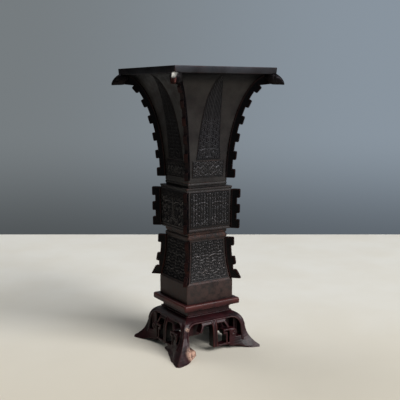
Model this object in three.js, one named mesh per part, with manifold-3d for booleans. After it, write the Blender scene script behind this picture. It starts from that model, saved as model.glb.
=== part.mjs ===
// Square bronze flower vase of archaic beaker form, seated on a pierced hardwood stand.
// Units are millimetres and +Z is up. The origin is the centre of the stand's footprint on the floor.
// The front face looks along -Y. Sections are square, so widths are given as half-widths across the flats.

import * as THREE from 'three';
import { mergeVertices } from 'three/addons/utils/BufferGeometryUtils.js';
import Module from 'manifold-3d';

const wasm = await Module();
wasm.setup();

// Heights of the stacked sections, from the floor up
const STAND_HEIGHT = 51;
const SEAT_DEPTH = 2; // how far the vase's foot sinks into the stand
const FOOT_HEIGHT = 73.7;
const KNOP_HEIGHT = 43.3;
const NECK_HEIGHT = 110.4; // knop to the underside of the mouth rim
const RIM_HEIGHT = 5.6;

// Bronze castings
const WALL = 2.8;
const FOOT_HALF = 27.2;
const FOOT_BAND_HEIGHT = 21.7; // plain band that stands on the seat
const FOOT_STEP = 0.7; // the panels above stand back from the band
const FOOT_HOLLOW = 0.4; // height in the foot's panels where its flare bends most
const COLLAR_HALF = 22.2; // the drawn-in collars above and below the knop
const LOWER_COLLAR_HEIGHT = 9.2;
const UPPER_COLLAR_HEIGHT = 5;
const COLLAR_BEAD = 0.7;
const BEAD_EASE = 1; // slope that leads into the bead from below
const KNOP_HALF = 26.6;
const KNOP_TAPER = 0.6; // the knop is this much narrower at its lower edge
const THROAT_HALF = 22.6;
const LIP_HALF = 54.5; // where the trumpet curve would turn level
const LIP_INSET = 1.1; // the lip stops short of that, inside the mouth rim
const RIM_HALF = 57.3;
const RIM_TAPER = 1.4; // the rim leans in by this much at its lower edge
const RIM_TOP_WIDTH = 6;
const RIM_BEVEL = 1; // lean of the rim's inner face
const SPIGOT_DEPTH = 4; // the collars enter the knop
const SPIGOT_WALL = 1.5;
const SPIGOT_STEP = 1; // spigot inside the collar's face
const SPIGOT_END = 0.5; // part of the spigot that shows inside the knop
const BASE_THICKNESS = 3;
const BASE_RECESS = 4; // base plate above the foot's lower edge
const BASE_LEDGE = 1.2;
const JOINT_GAP = 0.3; // solder or glue line between two pieces
const RELIEF = 0.5; // how far the ornamented fields stand out
const RELIEF_ROOT = 0.8; // how deep they are rooted in the wall

// Ornamented fields, on each of the four faces
const BLADE_HALF = 14;
const BLADE_FOOT = 22; // blade's lower edge above the neck's trumpet curve
const BLADE_TIP = 1; // blade's tip below the mouth rim
const BLADE_BENDS = [0.35, 0.84]; // shares of its height where the blade's edges bend
const BLADE_FULLNESS = 0.79; // share of its width at those bends
const BAND_MARGIN = 4.6; // plain border at each end of the dragon band
const BAND_FOOT = 4.6;
const BAND_HEIGHT = 16.5;
const PANEL_MARGIN = 3.2; // plain border at each side of the mask panels
const PANEL_END = 1.2; // plain border above and below the foot's panels
const KNOP_PANEL_END = 4; // and the knop's

// Corner flanges, with reaches measured along the corner's diagonal
const FLANGE_THICKNESS = 3.6;
const WEB_REACH = 5.2;
const TOOTH_REACH = 8.4;
const TOOTH_LENGTH = 9;
const TOOTH_ROUND = 0.9; // worn corners of the teeth
const NECK_TEETH = 6;
const KNOP_TEETH = 3;
const FOOT_TEETH = 2;
const FLANGE_SETBACK = 3; // clear of the collars at each end
const PLAIN_RUN = 12.5; // web without teeth behind the beak
const BEAK_THICKNESS = 8;
const BEAK_REACH = 7; // beak's tip past the corner of the mouth rim
const BEAK_DROP = 10.2; // beak's tip below the mouth rim
const BEAK_LENGTH = 15;
const BEAK_CROWN = [[0.96, 0], [1, 0.24], [0.88, 0.6], [0.66, 0.9]]; // shares of its length and drop
const BEAK_NAPE = 0.27; // share of its length that runs back along the rim
const BEAK_PLAN = [[-0.3, 0.8], [0.1, 1], [0.5, 1], [0.8, 0.78], [1, 0.4]]; // length and thickness
const HOOK_REACH = 10; // spur at the bottom of the foot flange
const HOOK_HEIGHT = 9;
const HOOK_TIP = 1.2; // blunt end of the spur
const HOOK_GAP = 4.8; // spur to the first tooth above it

// Wooden stand
const SEAT_CLEARANCE = 0.5;
const TOP_MARGIN = 4.9; // top that shows round the foot
const TOP_THICKNESS = 8;
const TOP_EDGE = 6.2; // moulded edge above the undercut
const TOP_ROUND = 2.4;
const TOP_COVE = 6.1; // how far the edge is undercut
const RAIL_WIDTH = 18;
const PANEL_TONGUE = 2.6;
const PANEL_TONGUE_THICKNESS = 2.2;
const PANEL_THICKNESS = 4.2;
const PANEL_COVER = 1.6; // rail above the panel's tongue
const PANEL_DROP = 0.2; // panel's face below the seat
const WAIST_HEIGHT = 6.6;
const WAIST_INSET = 7.6; // waist behind the top's edge
const WAIST_THICKNESS = 4;
const WAIST_BEAD = 1.8;
const BOARD = 8; // thickness of the carved aprons and frets
const LEG_EXTRA = 5; // the legs are this much thicker than the boards
const SHOULDER_REACH = 4.2; // past the top's edge
const TOE_REACH = 17.6; // tip of the toe past the top's edge
const SKIRT_REACH = 5.4; // lower edge between the legs past the top's edge
const KNEE_LEVEL = 0.56; // shares of the leg's height at which its outline bends
const CALF_LEVEL = 0.3;
const ANKLE_LEVEL = 0.15;
const SHOULDER_LEVELS = [0.8, 0.93];
const SHOULDER_SOFTNESS = [0.6, 3.2]; // shoulder drawn in at those two levels
const CALF_FLARE = 0.11; // shares of the toe's flare at calf and ankle
const ANKLE_FLARE = 0.44;
const APRON_HEIGHT = 5;
const POST_HALF = 2.4;
const POST_LIFT = 5.2; // foot of the centre post above the floor
const TAIL_BAR = 2.6; // lower edge of the apron that the two tails grow from
const TAIL_ROOT = 12; // tail's inner edge, from the middle
const TAIL_LEAN = 3.4; // how far each tail slants outwards
const TAIL_DROP = 9;
const TAIL_WIDTH = 2.2;
const LEG_BORDER = 5.8;
const ARCH_WIDTH = 11;
const ARCH_HEIGHT = 11;
const HEEL_TOP = 8; // short spur of the leg above the floor
const HEEL_LENGTH = 6; // from the leg's border
const HEEL_ROUND = 1.6;
const SOLE_LIFT = 3.2; // underside of heel and fret block above the floor
const SOLE_LENGTH = 11; // part of the foot that stands on the floor
const SOLE_SWEEP = 5; // ease of the curve under the heel
const TOE_ROUND = 8.5; // radius of the toe's tip, seen from above
const BLOCK_TOP = 12.2; // solid part of the fret, beside the leg
const BLOCK_LENGTH = 13.8;
const FRET_BAR = 1.8;
const FRET_LOOP_WIDTH = 7;
const FRET_LOOP_HEIGHT = 4.8;
const FRET_RISER_GAP = 2.2; // riser to the block's inner end
const CURL_RADIUS = 4.4;
const CURL_INSET = 0.4; // from the block's inner end
const CURL_HEIGHT = 9;
const CURL_START = 0.2 * Math.PI; // where the curl leaves its stem, below level
const TENON_WIDTH = 7.5;
const TENON_ROOT = 14; // height of the block that carries the tenon
const ROOT_CLEARANCE = 0.6; // that block behind the aprons and frets

// Levels worked out from the heights
const LEG_HEIGHT = STAND_HEIGHT - TOP_THICKNESS - WAIST_HEIGHT;
const WAIST_TOP = LEG_HEIGHT + WAIST_HEIGHT;
const SEAT_Z = STAND_HEIGHT - SEAT_DEPTH;
const FOOT_PANEL_Z = SEAT_Z + FOOT_BAND_HEIGHT;
const KNOP_Z = SEAT_Z + FOOT_HEIGHT;
const FOOT_CURVE_TOP = KNOP_Z - LOWER_COLLAR_HEIGHT;
const NECK_Z = KNOP_Z + KNOP_HEIGHT;
const NECK_CURVE_Z = NECK_Z + UPPER_COLLAR_HEIGHT;
const RIM_Z = NECK_Z + NECK_HEIGHT;
const TOP_Z = RIM_Z + RIM_HEIGHT;

// Widths worked out from the fits
const FOOT_PANEL_HALF = FOOT_HALF - FOOT_STEP;
const LIP_EDGE = LIP_HALF - LIP_INSET;
const SPIGOT_HALF = COLLAR_HALF - SPIGOT_STEP;
const BORE_HALF = SPIGOT_HALF - SPIGOT_WALL;
const SEAT_HALF = FOOT_HALF + SEAT_CLEARANCE;
const TOP_HALF = SEAT_HALF + TOP_MARGIN;
const RAIL_INNER = TOP_HALF - RAIL_WIDTH;
const WAIST_HALF = TOP_HALF - WAIST_INSET;
const SHOULDER_HALF = TOP_HALF + SHOULDER_REACH;
const TOE_HALF = TOP_HALF + TOE_REACH;
const SKIRT_HALF = TOP_HALF + SKIRT_REACH;
const LEG_THICKNESS = BOARD + LEG_EXTRA;
const LEG_TOP_HALF = WAIST_HALF + WAIST_BEAD;
const ARCH_HALF = SHOULDER_HALF - LEG_BORDER;
const HEEL_HALF = ARCH_HALF - HEEL_LENGTH;
const BLOCK_HALF = ARCH_HALF - BLOCK_LENGTH;
const APRON_BOTTOM = LEG_HEIGHT - APRON_HEIGHT;
const TENON_HALF = LEG_TOP_HALF - BOARD - JOINT_GAP;

const CURVE_STEPS = 16;
const ROUND_STEPS = 5; // for small roundings
const ARC_STEPS = 8; // for the bird heads, and the arches and curls of the stand
const HALVINGS = 40; // for finding a place along a curve
const WELD = 1e-4; // corners closer than this are one
const FAR = 200; // larger than the object, for cutting shapes
const FLARE_SHARE = 0.5; // flare of the stand half way from the frets to the toe
const MITRE_OVERLAP = 0.1; // so that the two sides of a leg join in one solid
const QUARTER = Math.PI / 2;
const TURNS = [0, 1, 2, 3]; // quarter turns of the four-sided object
const SIDES = ['front', 'right', 'back', 'left'];
const CORNERS = ['front_right', 'back_right', 'back_left', 'front_left'];
const LOST_FRET = 'fret_front_left'; // broken away long ago

const bronze = new THREE.MeshStandardMaterial({ color: 0x2c2623, roughness: 0.5, metalness: 0.85 });
const bareBronze = new THREE.MeshStandardMaterial({ color: 0x3a2f29, roughness: 0.6, metalness: 0.85 });
const hardwood = new THREE.MeshStandardMaterial({ color: 0x3d1814, roughness: 0.35, metalness: 0 });

const at = (x, y) => new THREE.Vector2(x, y);

// Solids from three.js geometry and back

function toSolid(geometry) {
  const bare = geometry.clone();
  bare.deleteAttribute('normal');
  bare.deleteAttribute('uv');
  const merged = mergeVertices(bare, WELD);
  const index = merged.index.array;
  const triVerts = [];
  for (let i = 0; i < index.length; i += 3) {
    const [a, b, c] = index.slice(i, i + 3);
    if (a !== b && b !== c && c !== a) triVerts.push(a, b, c);
  }
  const mesh = new wasm.Mesh({
    numProp: 3,
    vertProperties: new Float32Array(merged.attributes.position.array),
    triVerts: new Uint32Array(triVerts),
  });
  return new wasm.Manifold(mesh);
}

function toGeometry(solid) {
  const mesh = solid.getMesh();
  const geometry = new THREE.BufferGeometry();
  const positions = new Float32Array(mesh.vertProperties);
  geometry.setAttribute('position', new THREE.BufferAttribute(positions, 3));
  geometry.setIndex(new THREE.BufferAttribute(new Uint32Array(mesh.triVerts), 1));
  geometry.computeVertexNormals();
  return geometry;
}

// A square turning: the profile's x is the half-width and its y the height, listed anticlockwise
function squareTurning(profile, closed = true) {
  const points = profile.map((p) => at(p.x * Math.SQRT2, p.y));
  if (closed) points.push(points[0].clone());
  const geometry = new THREE.LatheGeometry(points, 4, Math.PI / 4);
  geometry.rotateX(QUARTER);
  return geometry;
}

// An outline drawn on the front elevation, cut through everything in front of the axis
function frontPrism(shape) {
  const options = { depth: FAR, bevelEnabled: false, curveSegments: ARC_STEPS };
  const geometry = new THREE.ExtrudeGeometry(shape, options);
  geometry.rotateX(QUARTER);
  return geometry;
}

// The quarter of space in front of the axis, between the two mitre planes
function frontWedge(gap) {
  const tip = -gap * Math.SQRT1_2;
  const shape = new THREE.Shape([at(0, tip), at(-FAR, tip - FAR), at(FAR, tip - FAR)]);
  const geometry = new THREE.ExtrudeGeometry(shape, { depth: 2 * FAR, bevelEnabled: false });
  geometry.translate(0, 0, -FAR / 2);
  return geometry;
}

function box(x0, x1, y0, y1, z0, z1) {
  const geometry = new THREE.BoxGeometry(x1 - x0, y1 - y0, z1 - z0);
  geometry.translate((x0 + x1) / 2, (y0 + y1) / 2, (z0 + z1) / 2);
  return geometry;
}

function polygon(...corners) {
  return new THREE.Shape(corners.map(([x, y]) => at(x, y)));
}

// A point beside a curve, to the right of its direction of travel when the distance is positive
function offsetAt(curve, share, distance) {
  const p = curve.getPointAt(share);
  const t = curve.getTangentAt(share);
  return at(p.x + t.y * distance, p.y - t.x * distance);
}

function offsetPoints(curve, steps, distance, end = 1) {
  const points = [];
  for (let i = 0; i <= steps; i++) {
    points.push(offsetAt(curve, (end * i) / steps, distance));
  }
  return points;
}

// Where a rising curve reaches a half-width (axis x) or a height (axis y), as a share of its length
function lengthShareAt(curve, axis, value) {
  let low = 0;
  let high = 1;
  for (let i = 0; i < HALVINGS; i++) {
    const middle = (low + high) / 2;
    if (curve.getPointAt(middle)[axis] < value) low = middle;
    else high = middle;
  }
  return low;
}

// Profiles of the bronze: each rises from bottom to top

// Trumpet of the neck: a quarter ellipse from the upright throat to the level lip
function neckCurve(scale = 1) {
  const reach = (LIP_HALF - THROAT_HALF) * scale;
  const rise = RIM_Z - NECK_CURVE_Z;
  return new THREE.EllipseCurve(LIP_HALF * scale, NECK_CURVE_Z, reach, rise, Math.PI, QUARTER, true);
}

// Flare of the foot: one hollow curve from the plain band up to the lower collar
function footCurve(scale = 1) {
  const hollow = FOOT_PANEL_Z + (FOOT_CURVE_TOP - FOOT_PANEL_Z) * FOOT_HOLLOW;
  const collar = COLLAR_HALF * scale;
  const start = at(FOOT_PANEL_HALF * scale, FOOT_PANEL_Z);
  return new THREE.QuadraticBezierCurve(start, at(collar, hollow), at(collar, FOOT_CURVE_TOP));
}

function knopCurve(scale = 1) {
  const low = at((KNOP_HALF - KNOP_TAPER) * scale, KNOP_Z);
  return new THREE.LineCurve(low, at(KNOP_HALF * scale, NECK_Z));
}

const neckEnd = lengthShareAt(neckCurve(), 'x', LIP_EDGE);

function neckProfile() {
  const outer = offsetPoints(neckCurve(), CURVE_STEPS, 0, neckEnd);
  const inner = offsetPoints(neckCurve(), CURVE_STEPS, -WALL, neckEnd).reverse();
  const lip = outer[outer.length - 1];
  return [
    at(SPIGOT_HALF, NECK_Z - SPIGOT_DEPTH),
    at(SPIGOT_HALF, NECK_Z),
    at(COLLAR_HALF, NECK_Z),
    at(COLLAR_HALF, NECK_CURVE_Z - COLLAR_BEAD),
    ...outer,
    at(lip.x, RIM_Z + WALL),
    ...inner,
    at(BORE_HALF, NECK_CURVE_Z - COLLAR_BEAD),
    at(BORE_HALF, NECK_Z - SPIGOT_DEPTH),
  ];
}

function knopProfile() {
  const hole = SPIGOT_HALF + JOINT_GAP;
  const ledge = SPIGOT_DEPTH - SPIGOT_END;
  const inner = KNOP_HALF - KNOP_TAPER - WALL;
  return [
    at(KNOP_HALF - KNOP_TAPER, KNOP_Z),
    at(KNOP_HALF, NECK_Z),
    at(hole, NECK_Z),
    at(hole, NECK_Z - ledge),
    at(inner, NECK_Z - ledge),
    at(inner, KNOP_Z + ledge),
    at(hole, KNOP_Z + ledge),
    at(hole, KNOP_Z),
  ];
}

function footProfile() {
  const outer = offsetPoints(footCurve(), CURVE_STEPS, 0);
  const inner = offsetPoints(footCurve(), CURVE_STEPS, -WALL).reverse();
  const bead = COLLAR_HALF + COLLAR_BEAD;
  const beadHigh = FOOT_CURVE_TOP + LOWER_COLLAR_HEIGHT / 2;
  const plateTop = SEAT_Z + BASE_RECESS + BASE_THICKNESS;
  const innerFoot = inner[inner.length - 1].x;
  return [
    at(FOOT_HALF, SEAT_Z),
    at(FOOT_HALF, FOOT_PANEL_Z - FOOT_STEP),
    ...outer,
    at(bead, FOOT_CURVE_TOP + BEAD_EASE),
    at(bead, beadHigh),
    at(COLLAR_HALF, beadHigh + COLLAR_BEAD),
    at(COLLAR_HALF, KNOP_Z),
    at(SPIGOT_HALF, KNOP_Z),
    at(SPIGOT_HALF, KNOP_Z + SPIGOT_DEPTH),
    at(BORE_HALF, KNOP_Z + SPIGOT_DEPTH),
    ...inner,
    at(innerFoot, plateTop),
    at(innerFoot + BASE_LEDGE, plateTop),
    at(innerFoot + BASE_LEDGE, SEAT_Z),
  ];
}

function rimProfile() {
  const lipTop = RIM_Z + WALL;
  const bottom = RIM_HALF - RIM_TAPER;
  const rebate = LIP_EDGE + JOINT_GAP;
  const inner = RIM_HALF - RIM_TOP_WIDTH;
  return [
    at(bottom, RIM_Z),
    at(RIM_HALF, TOP_Z),
    at(inner, TOP_Z),
    at(inner - RIM_BEVEL, lipTop),
    at(rebate, lipTop),
    at(rebate, RIM_Z),
  ];
}

// Ornamented fields standing out from a wall, one on each face

function raisedFields(curve, steps, end, shape) {
  const outer = offsetPoints(curve, steps, RELIEF, end);
  const inner = offsetPoints(curve, steps, -RELIEF_ROOT, end).reverse();
  const skin = toSolid(squareTurning([...outer, ...inner]));
  const outline = toSolid(frontPrism(shape)).intersect(toSolid(frontWedge(JOINT_GAP)));
  const field = skin.intersect(outline);
  return TURNS.map((turn) => toSolid(toGeometry(field).rotateZ(turn * QUARTER)));
}

// Plantain-leaf blade: straight at its foot, drawn in along two curves that close under the lip
function bladeShape() {
  const foot = NECK_CURVE_Z + BLADE_FOOT;
  const tip = RIM_Z - BLADE_TIP;
  const [low, high] = BLADE_BENDS.map((share) => foot + (tip - foot) * share);
  const full = BLADE_HALF * BLADE_FULLNESS;
  const shape = new THREE.Shape();
  shape.moveTo(-BLADE_HALF, foot);
  shape.lineTo(BLADE_HALF, foot);
  shape.bezierCurveTo(full, low, full, high, 0, tip);
  shape.bezierCurveTo(-full, high, -full, low, -BLADE_HALF, foot);
  return shape;
}

function rectangle(half, z0, z1) {
  return polygon([-half, z0], [half, z0], [half, z1], [-half, z1]);
}

function neckSolid() {
  const bandLow = NECK_CURVE_Z + BAND_FOOT;
  const band = rectangle(THROAT_HALF - BAND_MARGIN, bandLow, bandLow + BAND_HEIGHT);
  const fields = [bladeShape(), band].flatMap((shape) => (
    raisedFields(neckCurve(), CURVE_STEPS, neckEnd, shape)
  ));
  return fields.reduce((whole, field) => whole.add(field), toSolid(squareTurning(neckProfile())));
}

function knopSolid() {
  const half = KNOP_HALF - KNOP_TAPER - PANEL_MARGIN;
  const panel = rectangle(half, KNOP_Z + KNOP_PANEL_END, NECK_Z - KNOP_PANEL_END);
  const fields = raisedFields(knopCurve(), 1, 1, panel);
  return fields.reduce((whole, field) => whole.add(field), toSolid(squareTurning(knopProfile())));
}

// Mask panel of the foot, whose sides run along the flared corners
function footPanel() {
  const curve = footCurve();
  const low = lengthShareAt(curve, 'y', FOOT_PANEL_Z + PANEL_END);
  const high = lengthShareAt(curve, 'y', FOOT_CURVE_TOP - PANEL_END);
  const side = [];
  for (let i = 0; i <= ROUND_STEPS; i++) {
    const p = curve.getPointAt(low + ((high - low) * i) / ROUND_STEPS);
    side.push([p.x - PANEL_MARGIN, p.y]);
  }
  const mirrored = side.map(([x, z]) => [-x, z]).reverse();
  return polygon(...side, ...mirrored);
}

function footSolid() {
  const fields = raisedFields(footCurve(), CURVE_STEPS, 1, footPanel());
  return fields.reduce((whole, field) => whole.add(field), toSolid(squareTurning(footProfile())));
}

function basePlateSolid() {
  const half = offsetAt(footCurve(), 0, -WALL).x + BASE_LEDGE - JOINT_GAP;
  const bottom = SEAT_Z + BASE_RECESS;
  const top = bottom + BASE_THICKNESS;
  const profile = [at(0, bottom), at(half, bottom), at(half, top), at(0, top)];
  return toSolid(squareTurning(profile, false));
}

// Corner flanges. Their outlines lie in the diagonal plane, with x along the diagonal and y upwards

// Teeth along a corner line, each stepping square out from the web
function toothedEdge(curve, first, last, teeth) {
  const tooth = TOOTH_LENGTH / curve.getLength();
  const pitch = (last - first - tooth) / (teeth - 1);
  const round = TOOTH_ROUND / curve.getLength();
  const points = [];
  for (let i = 0; i < teeth; i++) {
    const low = first + i * pitch;
    const high = low + tooth;
    points.push(offsetAt(curve, low, i ? WEB_REACH : 0));
    points.push(offsetAt(curve, low, TOOTH_REACH - TOOTH_ROUND));
    points.push(offsetAt(curve, low + round, TOOTH_REACH));
    points.push(offsetAt(curve, high - round, TOOTH_REACH));
    points.push(offsetAt(curve, high, TOOTH_REACH - TOOTH_ROUND));
    points.push(offsetAt(curve, high, WEB_REACH));
    if (i < teeth - 1) points.push(offsetAt(curve, (high + low + pitch) / 2, WEB_REACH));
  }
  return points;
}

// A flange plate astride a corner, cut away where the casting's corner runs through it
function flangeSolid(outline, thickness, casting) {
  const shape = new THREE.Shape(outline);
  const geometry = new THREE.ExtrudeGeometry(shape, { depth: thickness, bevelEnabled: false });
  geometry.translate(0, 0, -thickness / 2);
  geometry.rotateX(QUARTER);
  geometry.rotateZ(-Math.PI / 4);
  return toSolid(geometry).subtract(casting);
}

// The casting's outside, grown by the solder gap and filled to the axis
function cornerCutter(curve, steps, end) {
  const outer = offsetPoints(curve, steps, JOINT_GAP, end);
  const low = outer[0].y - FLANGE_SETBACK - JOINT_GAP;
  const high = outer[outer.length - 1].y;
  const bottom = at(outer[0].x, low);
  return toSolid(squareTurning([at(0, low), bottom, ...outer, at(0, high)], false));
}

function neckFlangeSolid() {
  const curve = neckCurve(Math.SQRT2);
  const cutter = cornerCutter(neckCurve(), CURVE_STEPS, 1);
  const tipX = RIM_HALF * Math.SQRT2 + BEAK_REACH;
  const tipZ = RIM_Z - BEAK_DROP;
  const throatX = tipX - BEAK_LENGTH;
  const roof = RIM_Z - JOINT_GAP;
  const rimX = (RIM_HALF - RIM_TAPER) * Math.SQRT2;
  const first = FLANGE_SETBACK / curve.getLength();
  const last = lengthShareAt(curve, 'x', throatX - PLAIN_RUN);
  const edge = toothedEdge(curve, first, last, NECK_TEETH);
  const inside = offsetPoints(curve, CURVE_STEPS, -WALL / 2).reverse();
  const root = inside.filter((p) => p.y < roof && p.y > edge[0].y);
  const underBeak = [at(throatX, tipZ), at(rimX, tipZ), at(rimX, roof), at(root[0].x, roof)];
  const plate = [...edge, ...underBeak, ...root, at(edge[0].x - WALL, edge[0].y)];
  const crown = BEAK_CROWN.map(([along, up]) => at(throatX + along * BEAK_LENGTH, tipZ + up * BEAK_DROP));
  const top = new THREE.SplineCurve([...crown, at(rimX, roof)]).getPoints(ARC_STEPS);
  const head = [at(throatX, tipZ), ...top, at(throatX - BEAK_NAPE * BEAK_LENGTH, roof)];
  const beak = flangeSolid(head, BEAK_THICKNESS, cutter).intersect(beakPlan(throatX));
  return flangeSolid(plate, FLANGE_THICKNESS, cutter).add(beak);
}

// Upright prism over the bird's head as seen from above, drawn in towards the beak's tip
function beakPlan(throatX) {
  const half = BEAK_THICKNESS / 2;
  const edge = BEAK_PLAN.map(([along, wide]) => at(throatX + along * BEAK_LENGTH, wide * half));
  const side = new THREE.SplineCurve(edge).getPoints(ARC_STEPS);
  const other = side.map((p) => at(p.x, -p.y)).reverse();
  const plan = new THREE.Shape([...side, ...other]);
  const geometry = new THREE.ExtrudeGeometry(plan, { depth: TOP_Z, bevelEnabled: false });
  geometry.rotateZ(-Math.PI / 4);
  return toSolid(geometry);
}

function knopFlangeSolid() {
  const curve = knopCurve(Math.SQRT2);
  const length = curve.getLength();
  const edge = toothedEdge(curve, JOINT_GAP / length, 1 - FLANGE_SETBACK / length, KNOP_TEETH);
  const top = edge[edge.length - 1];
  const outline = [...edge, at(KNOP_HALF * Math.SQRT2 - WALL, top.y), at(edge[0].x - WALL, edge[0].y)];
  return flangeSolid(outline, FLANGE_THICKNESS, cornerCutter(knopCurve(), 1, 1));
}

function footFlangeSolid() {
  const curve = footCurve(Math.SQRT2);
  const cornerX = FOOT_PANEL_HALF * Math.SQRT2;
  const low = FOOT_PANEL_Z + JOINT_GAP;
  const first = (HOOK_HEIGHT + HOOK_GAP) / curve.getLength();
  const edge = toothedEdge(curve, first, 1, FOOT_TEETH);
  edge[0] = offsetAt(curve, first, WEB_REACH);
  const hook = [
    at(cornerX - WALL, low),
    at(cornerX + HOOK_REACH, low),
    at(cornerX + HOOK_REACH - HOOK_TIP / 2, low + HOOK_TIP),
    at(cornerX + WEB_REACH, low + HOOK_HEIGHT),
    at(edge[0].x, low + HOOK_HEIGHT),
  ];
  const top = edge[edge.length - 1];
  const outline = [...hook, ...edge, at(COLLAR_HALF * Math.SQRT2 - WALL, top.y)];
  return flangeSolid(outline, FLANGE_THICKNESS, cornerCutter(footCurve(), CURVE_STEPS, 1));
}

// Stand: mitred top frame with a floating panel, and a drawn-in waist

function topRailProfile() {
  const cove = TOP_HALF - TOP_COVE;
  const edgeBottom = STAND_HEIGHT - TOP_EDGE;
  const edge = new THREE.Path();
  edge.moveTo(cove, WAIST_TOP);
  edge.quadraticCurveTo(cove, edgeBottom, TOP_HALF - TOP_ROUND, edgeBottom);
  edge.quadraticCurveTo(TOP_HALF, edgeBottom, TOP_HALF, edgeBottom + TOP_ROUND);
  edge.lineTo(TOP_HALF, STAND_HEIGHT - TOP_ROUND);
  edge.quadraticCurveTo(TOP_HALF, STAND_HEIGHT, TOP_HALF - TOP_ROUND, STAND_HEIGHT);
  const groove = RAIL_INNER + PANEL_TONGUE + JOINT_GAP;
  const grooveTop = SEAT_Z - PANEL_COVER + JOINT_GAP;
  const grooveBottom = SEAT_Z - PANEL_COVER - PANEL_TONGUE_THICKNESS - JOINT_GAP;
  return [
    ...edge.getPoints(ROUND_STEPS),
    at(SEAT_HALF, STAND_HEIGHT),
    at(SEAT_HALF, SEAT_Z),
    at(RAIL_INNER, SEAT_Z),
    at(RAIL_INNER, grooveTop),
    at(groove, grooveTop),
    at(groove, grooveBottom),
    at(RAIL_INNER, grooveBottom),
    at(RAIL_INNER, WAIST_TOP),
  ];
}

function seatPanelSolid() {
  const tongueTop = SEAT_Z - PANEL_COVER;
  const tongueBottom = tongueTop - PANEL_TONGUE_THICKNESS;
  const tongue = RAIL_INNER + PANEL_TONGUE;
  const field = RAIL_INNER - JOINT_GAP;
  const top = SEAT_Z - PANEL_DROP;
  const bottom = top - PANEL_THICKNESS;
  const profile = [
    at(0, bottom),
    at(field, bottom),
    at(field, tongueBottom),
    at(tongue, tongueBottom),
    at(tongue, tongueTop),
    at(field, tongueTop),
    at(field, top),
    at(0, top),
  ];
  return toSolid(squareTurning(profile, false));
}

// Waist strip with a half-round bead along its foot
function waistProfile() {
  const inner = WAIST_HALF - WAIST_THICKNESS;
  const half = WAIST_BEAD / 2;
  const bead = new THREE.EllipseCurve(WAIST_HALF, LEG_HEIGHT + half, WAIST_BEAD, half, -QUARTER, QUARTER);
  return [
    ...bead.getPoints(ARC_STEPS),
    at(WAIST_HALF, WAIST_TOP),
    at(inner, WAIST_TOP),
    at(inner, LEG_HEIGHT),
  ];
}

function mitredFront(profile) {
  return toSolid(squareTurning(profile)).intersect(toSolid(frontWedge(JOINT_GAP)));
}

// Stand: aprons, legs and frets, all carved to one swelling outside surface

// Cabriole profile, from the lower edge up over the shoulder to the waist
function cabrioleCurve(lowerHalf) {
  const flare = lowerHalf - SHOULDER_HALF;
  const flared = (share, level) => at(SHOULDER_HALF + flare * share, LEG_HEIGHT * level);
  const knee = flared(0, KNEE_LEVEL);
  const [low, high] = SHOULDER_LEVELS.map((level, i) => (
    at(SHOULDER_HALF - SHOULDER_SOFTNESS[i], LEG_HEIGHT * level)
  ));
  const ankle = flared(ANKLE_FLARE, ANKLE_LEVEL);
  const calf = flared(CALF_FLARE, CALF_LEVEL);
  const curve = new THREE.CurvePath();
  curve.add(new THREE.CubicBezierCurve(flared(1, 0), ankle, calf, knee));
  curve.add(new THREE.CubicBezierCurve(knee, low, high, at(LEG_TOP_HALF, LEG_HEIGHT)));
  return curve;
}

// A solid through square rings whose sides are straight in the middle and flare towards the corners
function flaredLoft(inset) {
  const corners = cabrioleCurve(TOE_HALF).getPoints(CURVE_STEPS / 2);
  const sides = cabrioleCurve(SKIRT_HALF).getPoints(CURVE_STEPS / 2);
  const rings = corners.map((corner, level) => {
    const c = corner.x - inset;
    const s = sides[level].x - inset;
    const bend = (BLOCK_HALF + c) / 2;
    const bent = s + (c - s) * FLARE_SHARE;
    const left = [at(-c, -c), at(-bend, -bent), at(-BLOCK_HALF, -s)];
    const front = [...left, at(BLOCK_HALF, -s), at(bend, -bent)];
    return TURNS.flatMap((turn) => front.map((p) => {
      const q = p.clone().rotateAround(at(0, 0), turn * QUARTER);
      return new THREE.Vector3(q.x, q.y, corner.y);
    }));
  });
  return loft(rings);
}

// A closed skin over rings of equal count, listed anticlockwise and rising, with a fan at each end
function loft(rings) {
  const count = rings[0].length;
  const foot = new THREE.Vector3(0, 0, rings[0][0].z);
  const head = new THREE.Vector3(0, 0, rings[rings.length - 1][0].z);
  const points = [...rings.flat(), foot, head];
  const index = [];
  const last = (rings.length - 1) * count;
  for (let i = 0; i < count; i++) {
    const j = (i + 1) % count;
    for (let low = 0; low < last; low += count) {
      index.push(low + i, low + j, low + count + j, low + i, low + count + j, low + count + i);
    }
    index.push(j, i, last + count, last + i, last + j, last + count + 1);
  }
  return new THREE.BufferGeometry().setFromPoints(points).setIndex(index);
}

function carvedShell(thickness) {
  return toSolid(flaredLoft(0)).subtract(toSolid(flaredLoft(thickness)));
}

function carve(shell, shapes, gap) {
  const prisms = shapes.map((shape) => toSolid(frontPrism(shape)));
  const pattern = prisms.reduce((whole, prism) => whole.add(prism));
  return shell.intersect(pattern).intersect(toSolid(frontWedge(gap)));
}

// Apron with its centre post and the two slanting tails beside it
function apronShape() {
  const bar = APRON_BOTTOM - TAIL_BAR;
  const tip = APRON_BOTTOM - TAIL_DROP;
  const arch = ARCH_HALF - ARCH_WIDTH - JOINT_GAP;
  const tailOuter = TAIL_ROOT + TAIL_WIDTH;
  const half = [
    [POST_HALF, POST_LIFT],
    [POST_HALF, bar],
    [TAIL_ROOT, bar],
    [TAIL_ROOT + TAIL_LEAN, tip],
    [tailOuter + TAIL_LEAN, tip],
    [tailOuter, bar],
    [tailOuter, APRON_BOTTOM],
    [arch, APRON_BOTTOM],
    [LEG_TOP_HALF - JOINT_GAP, LEG_HEIGHT],
  ];
  const mirrored = half.map(([x, z]) => [-x, z]).reverse();
  return polygon(...half, ...mirrored);
}

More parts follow.
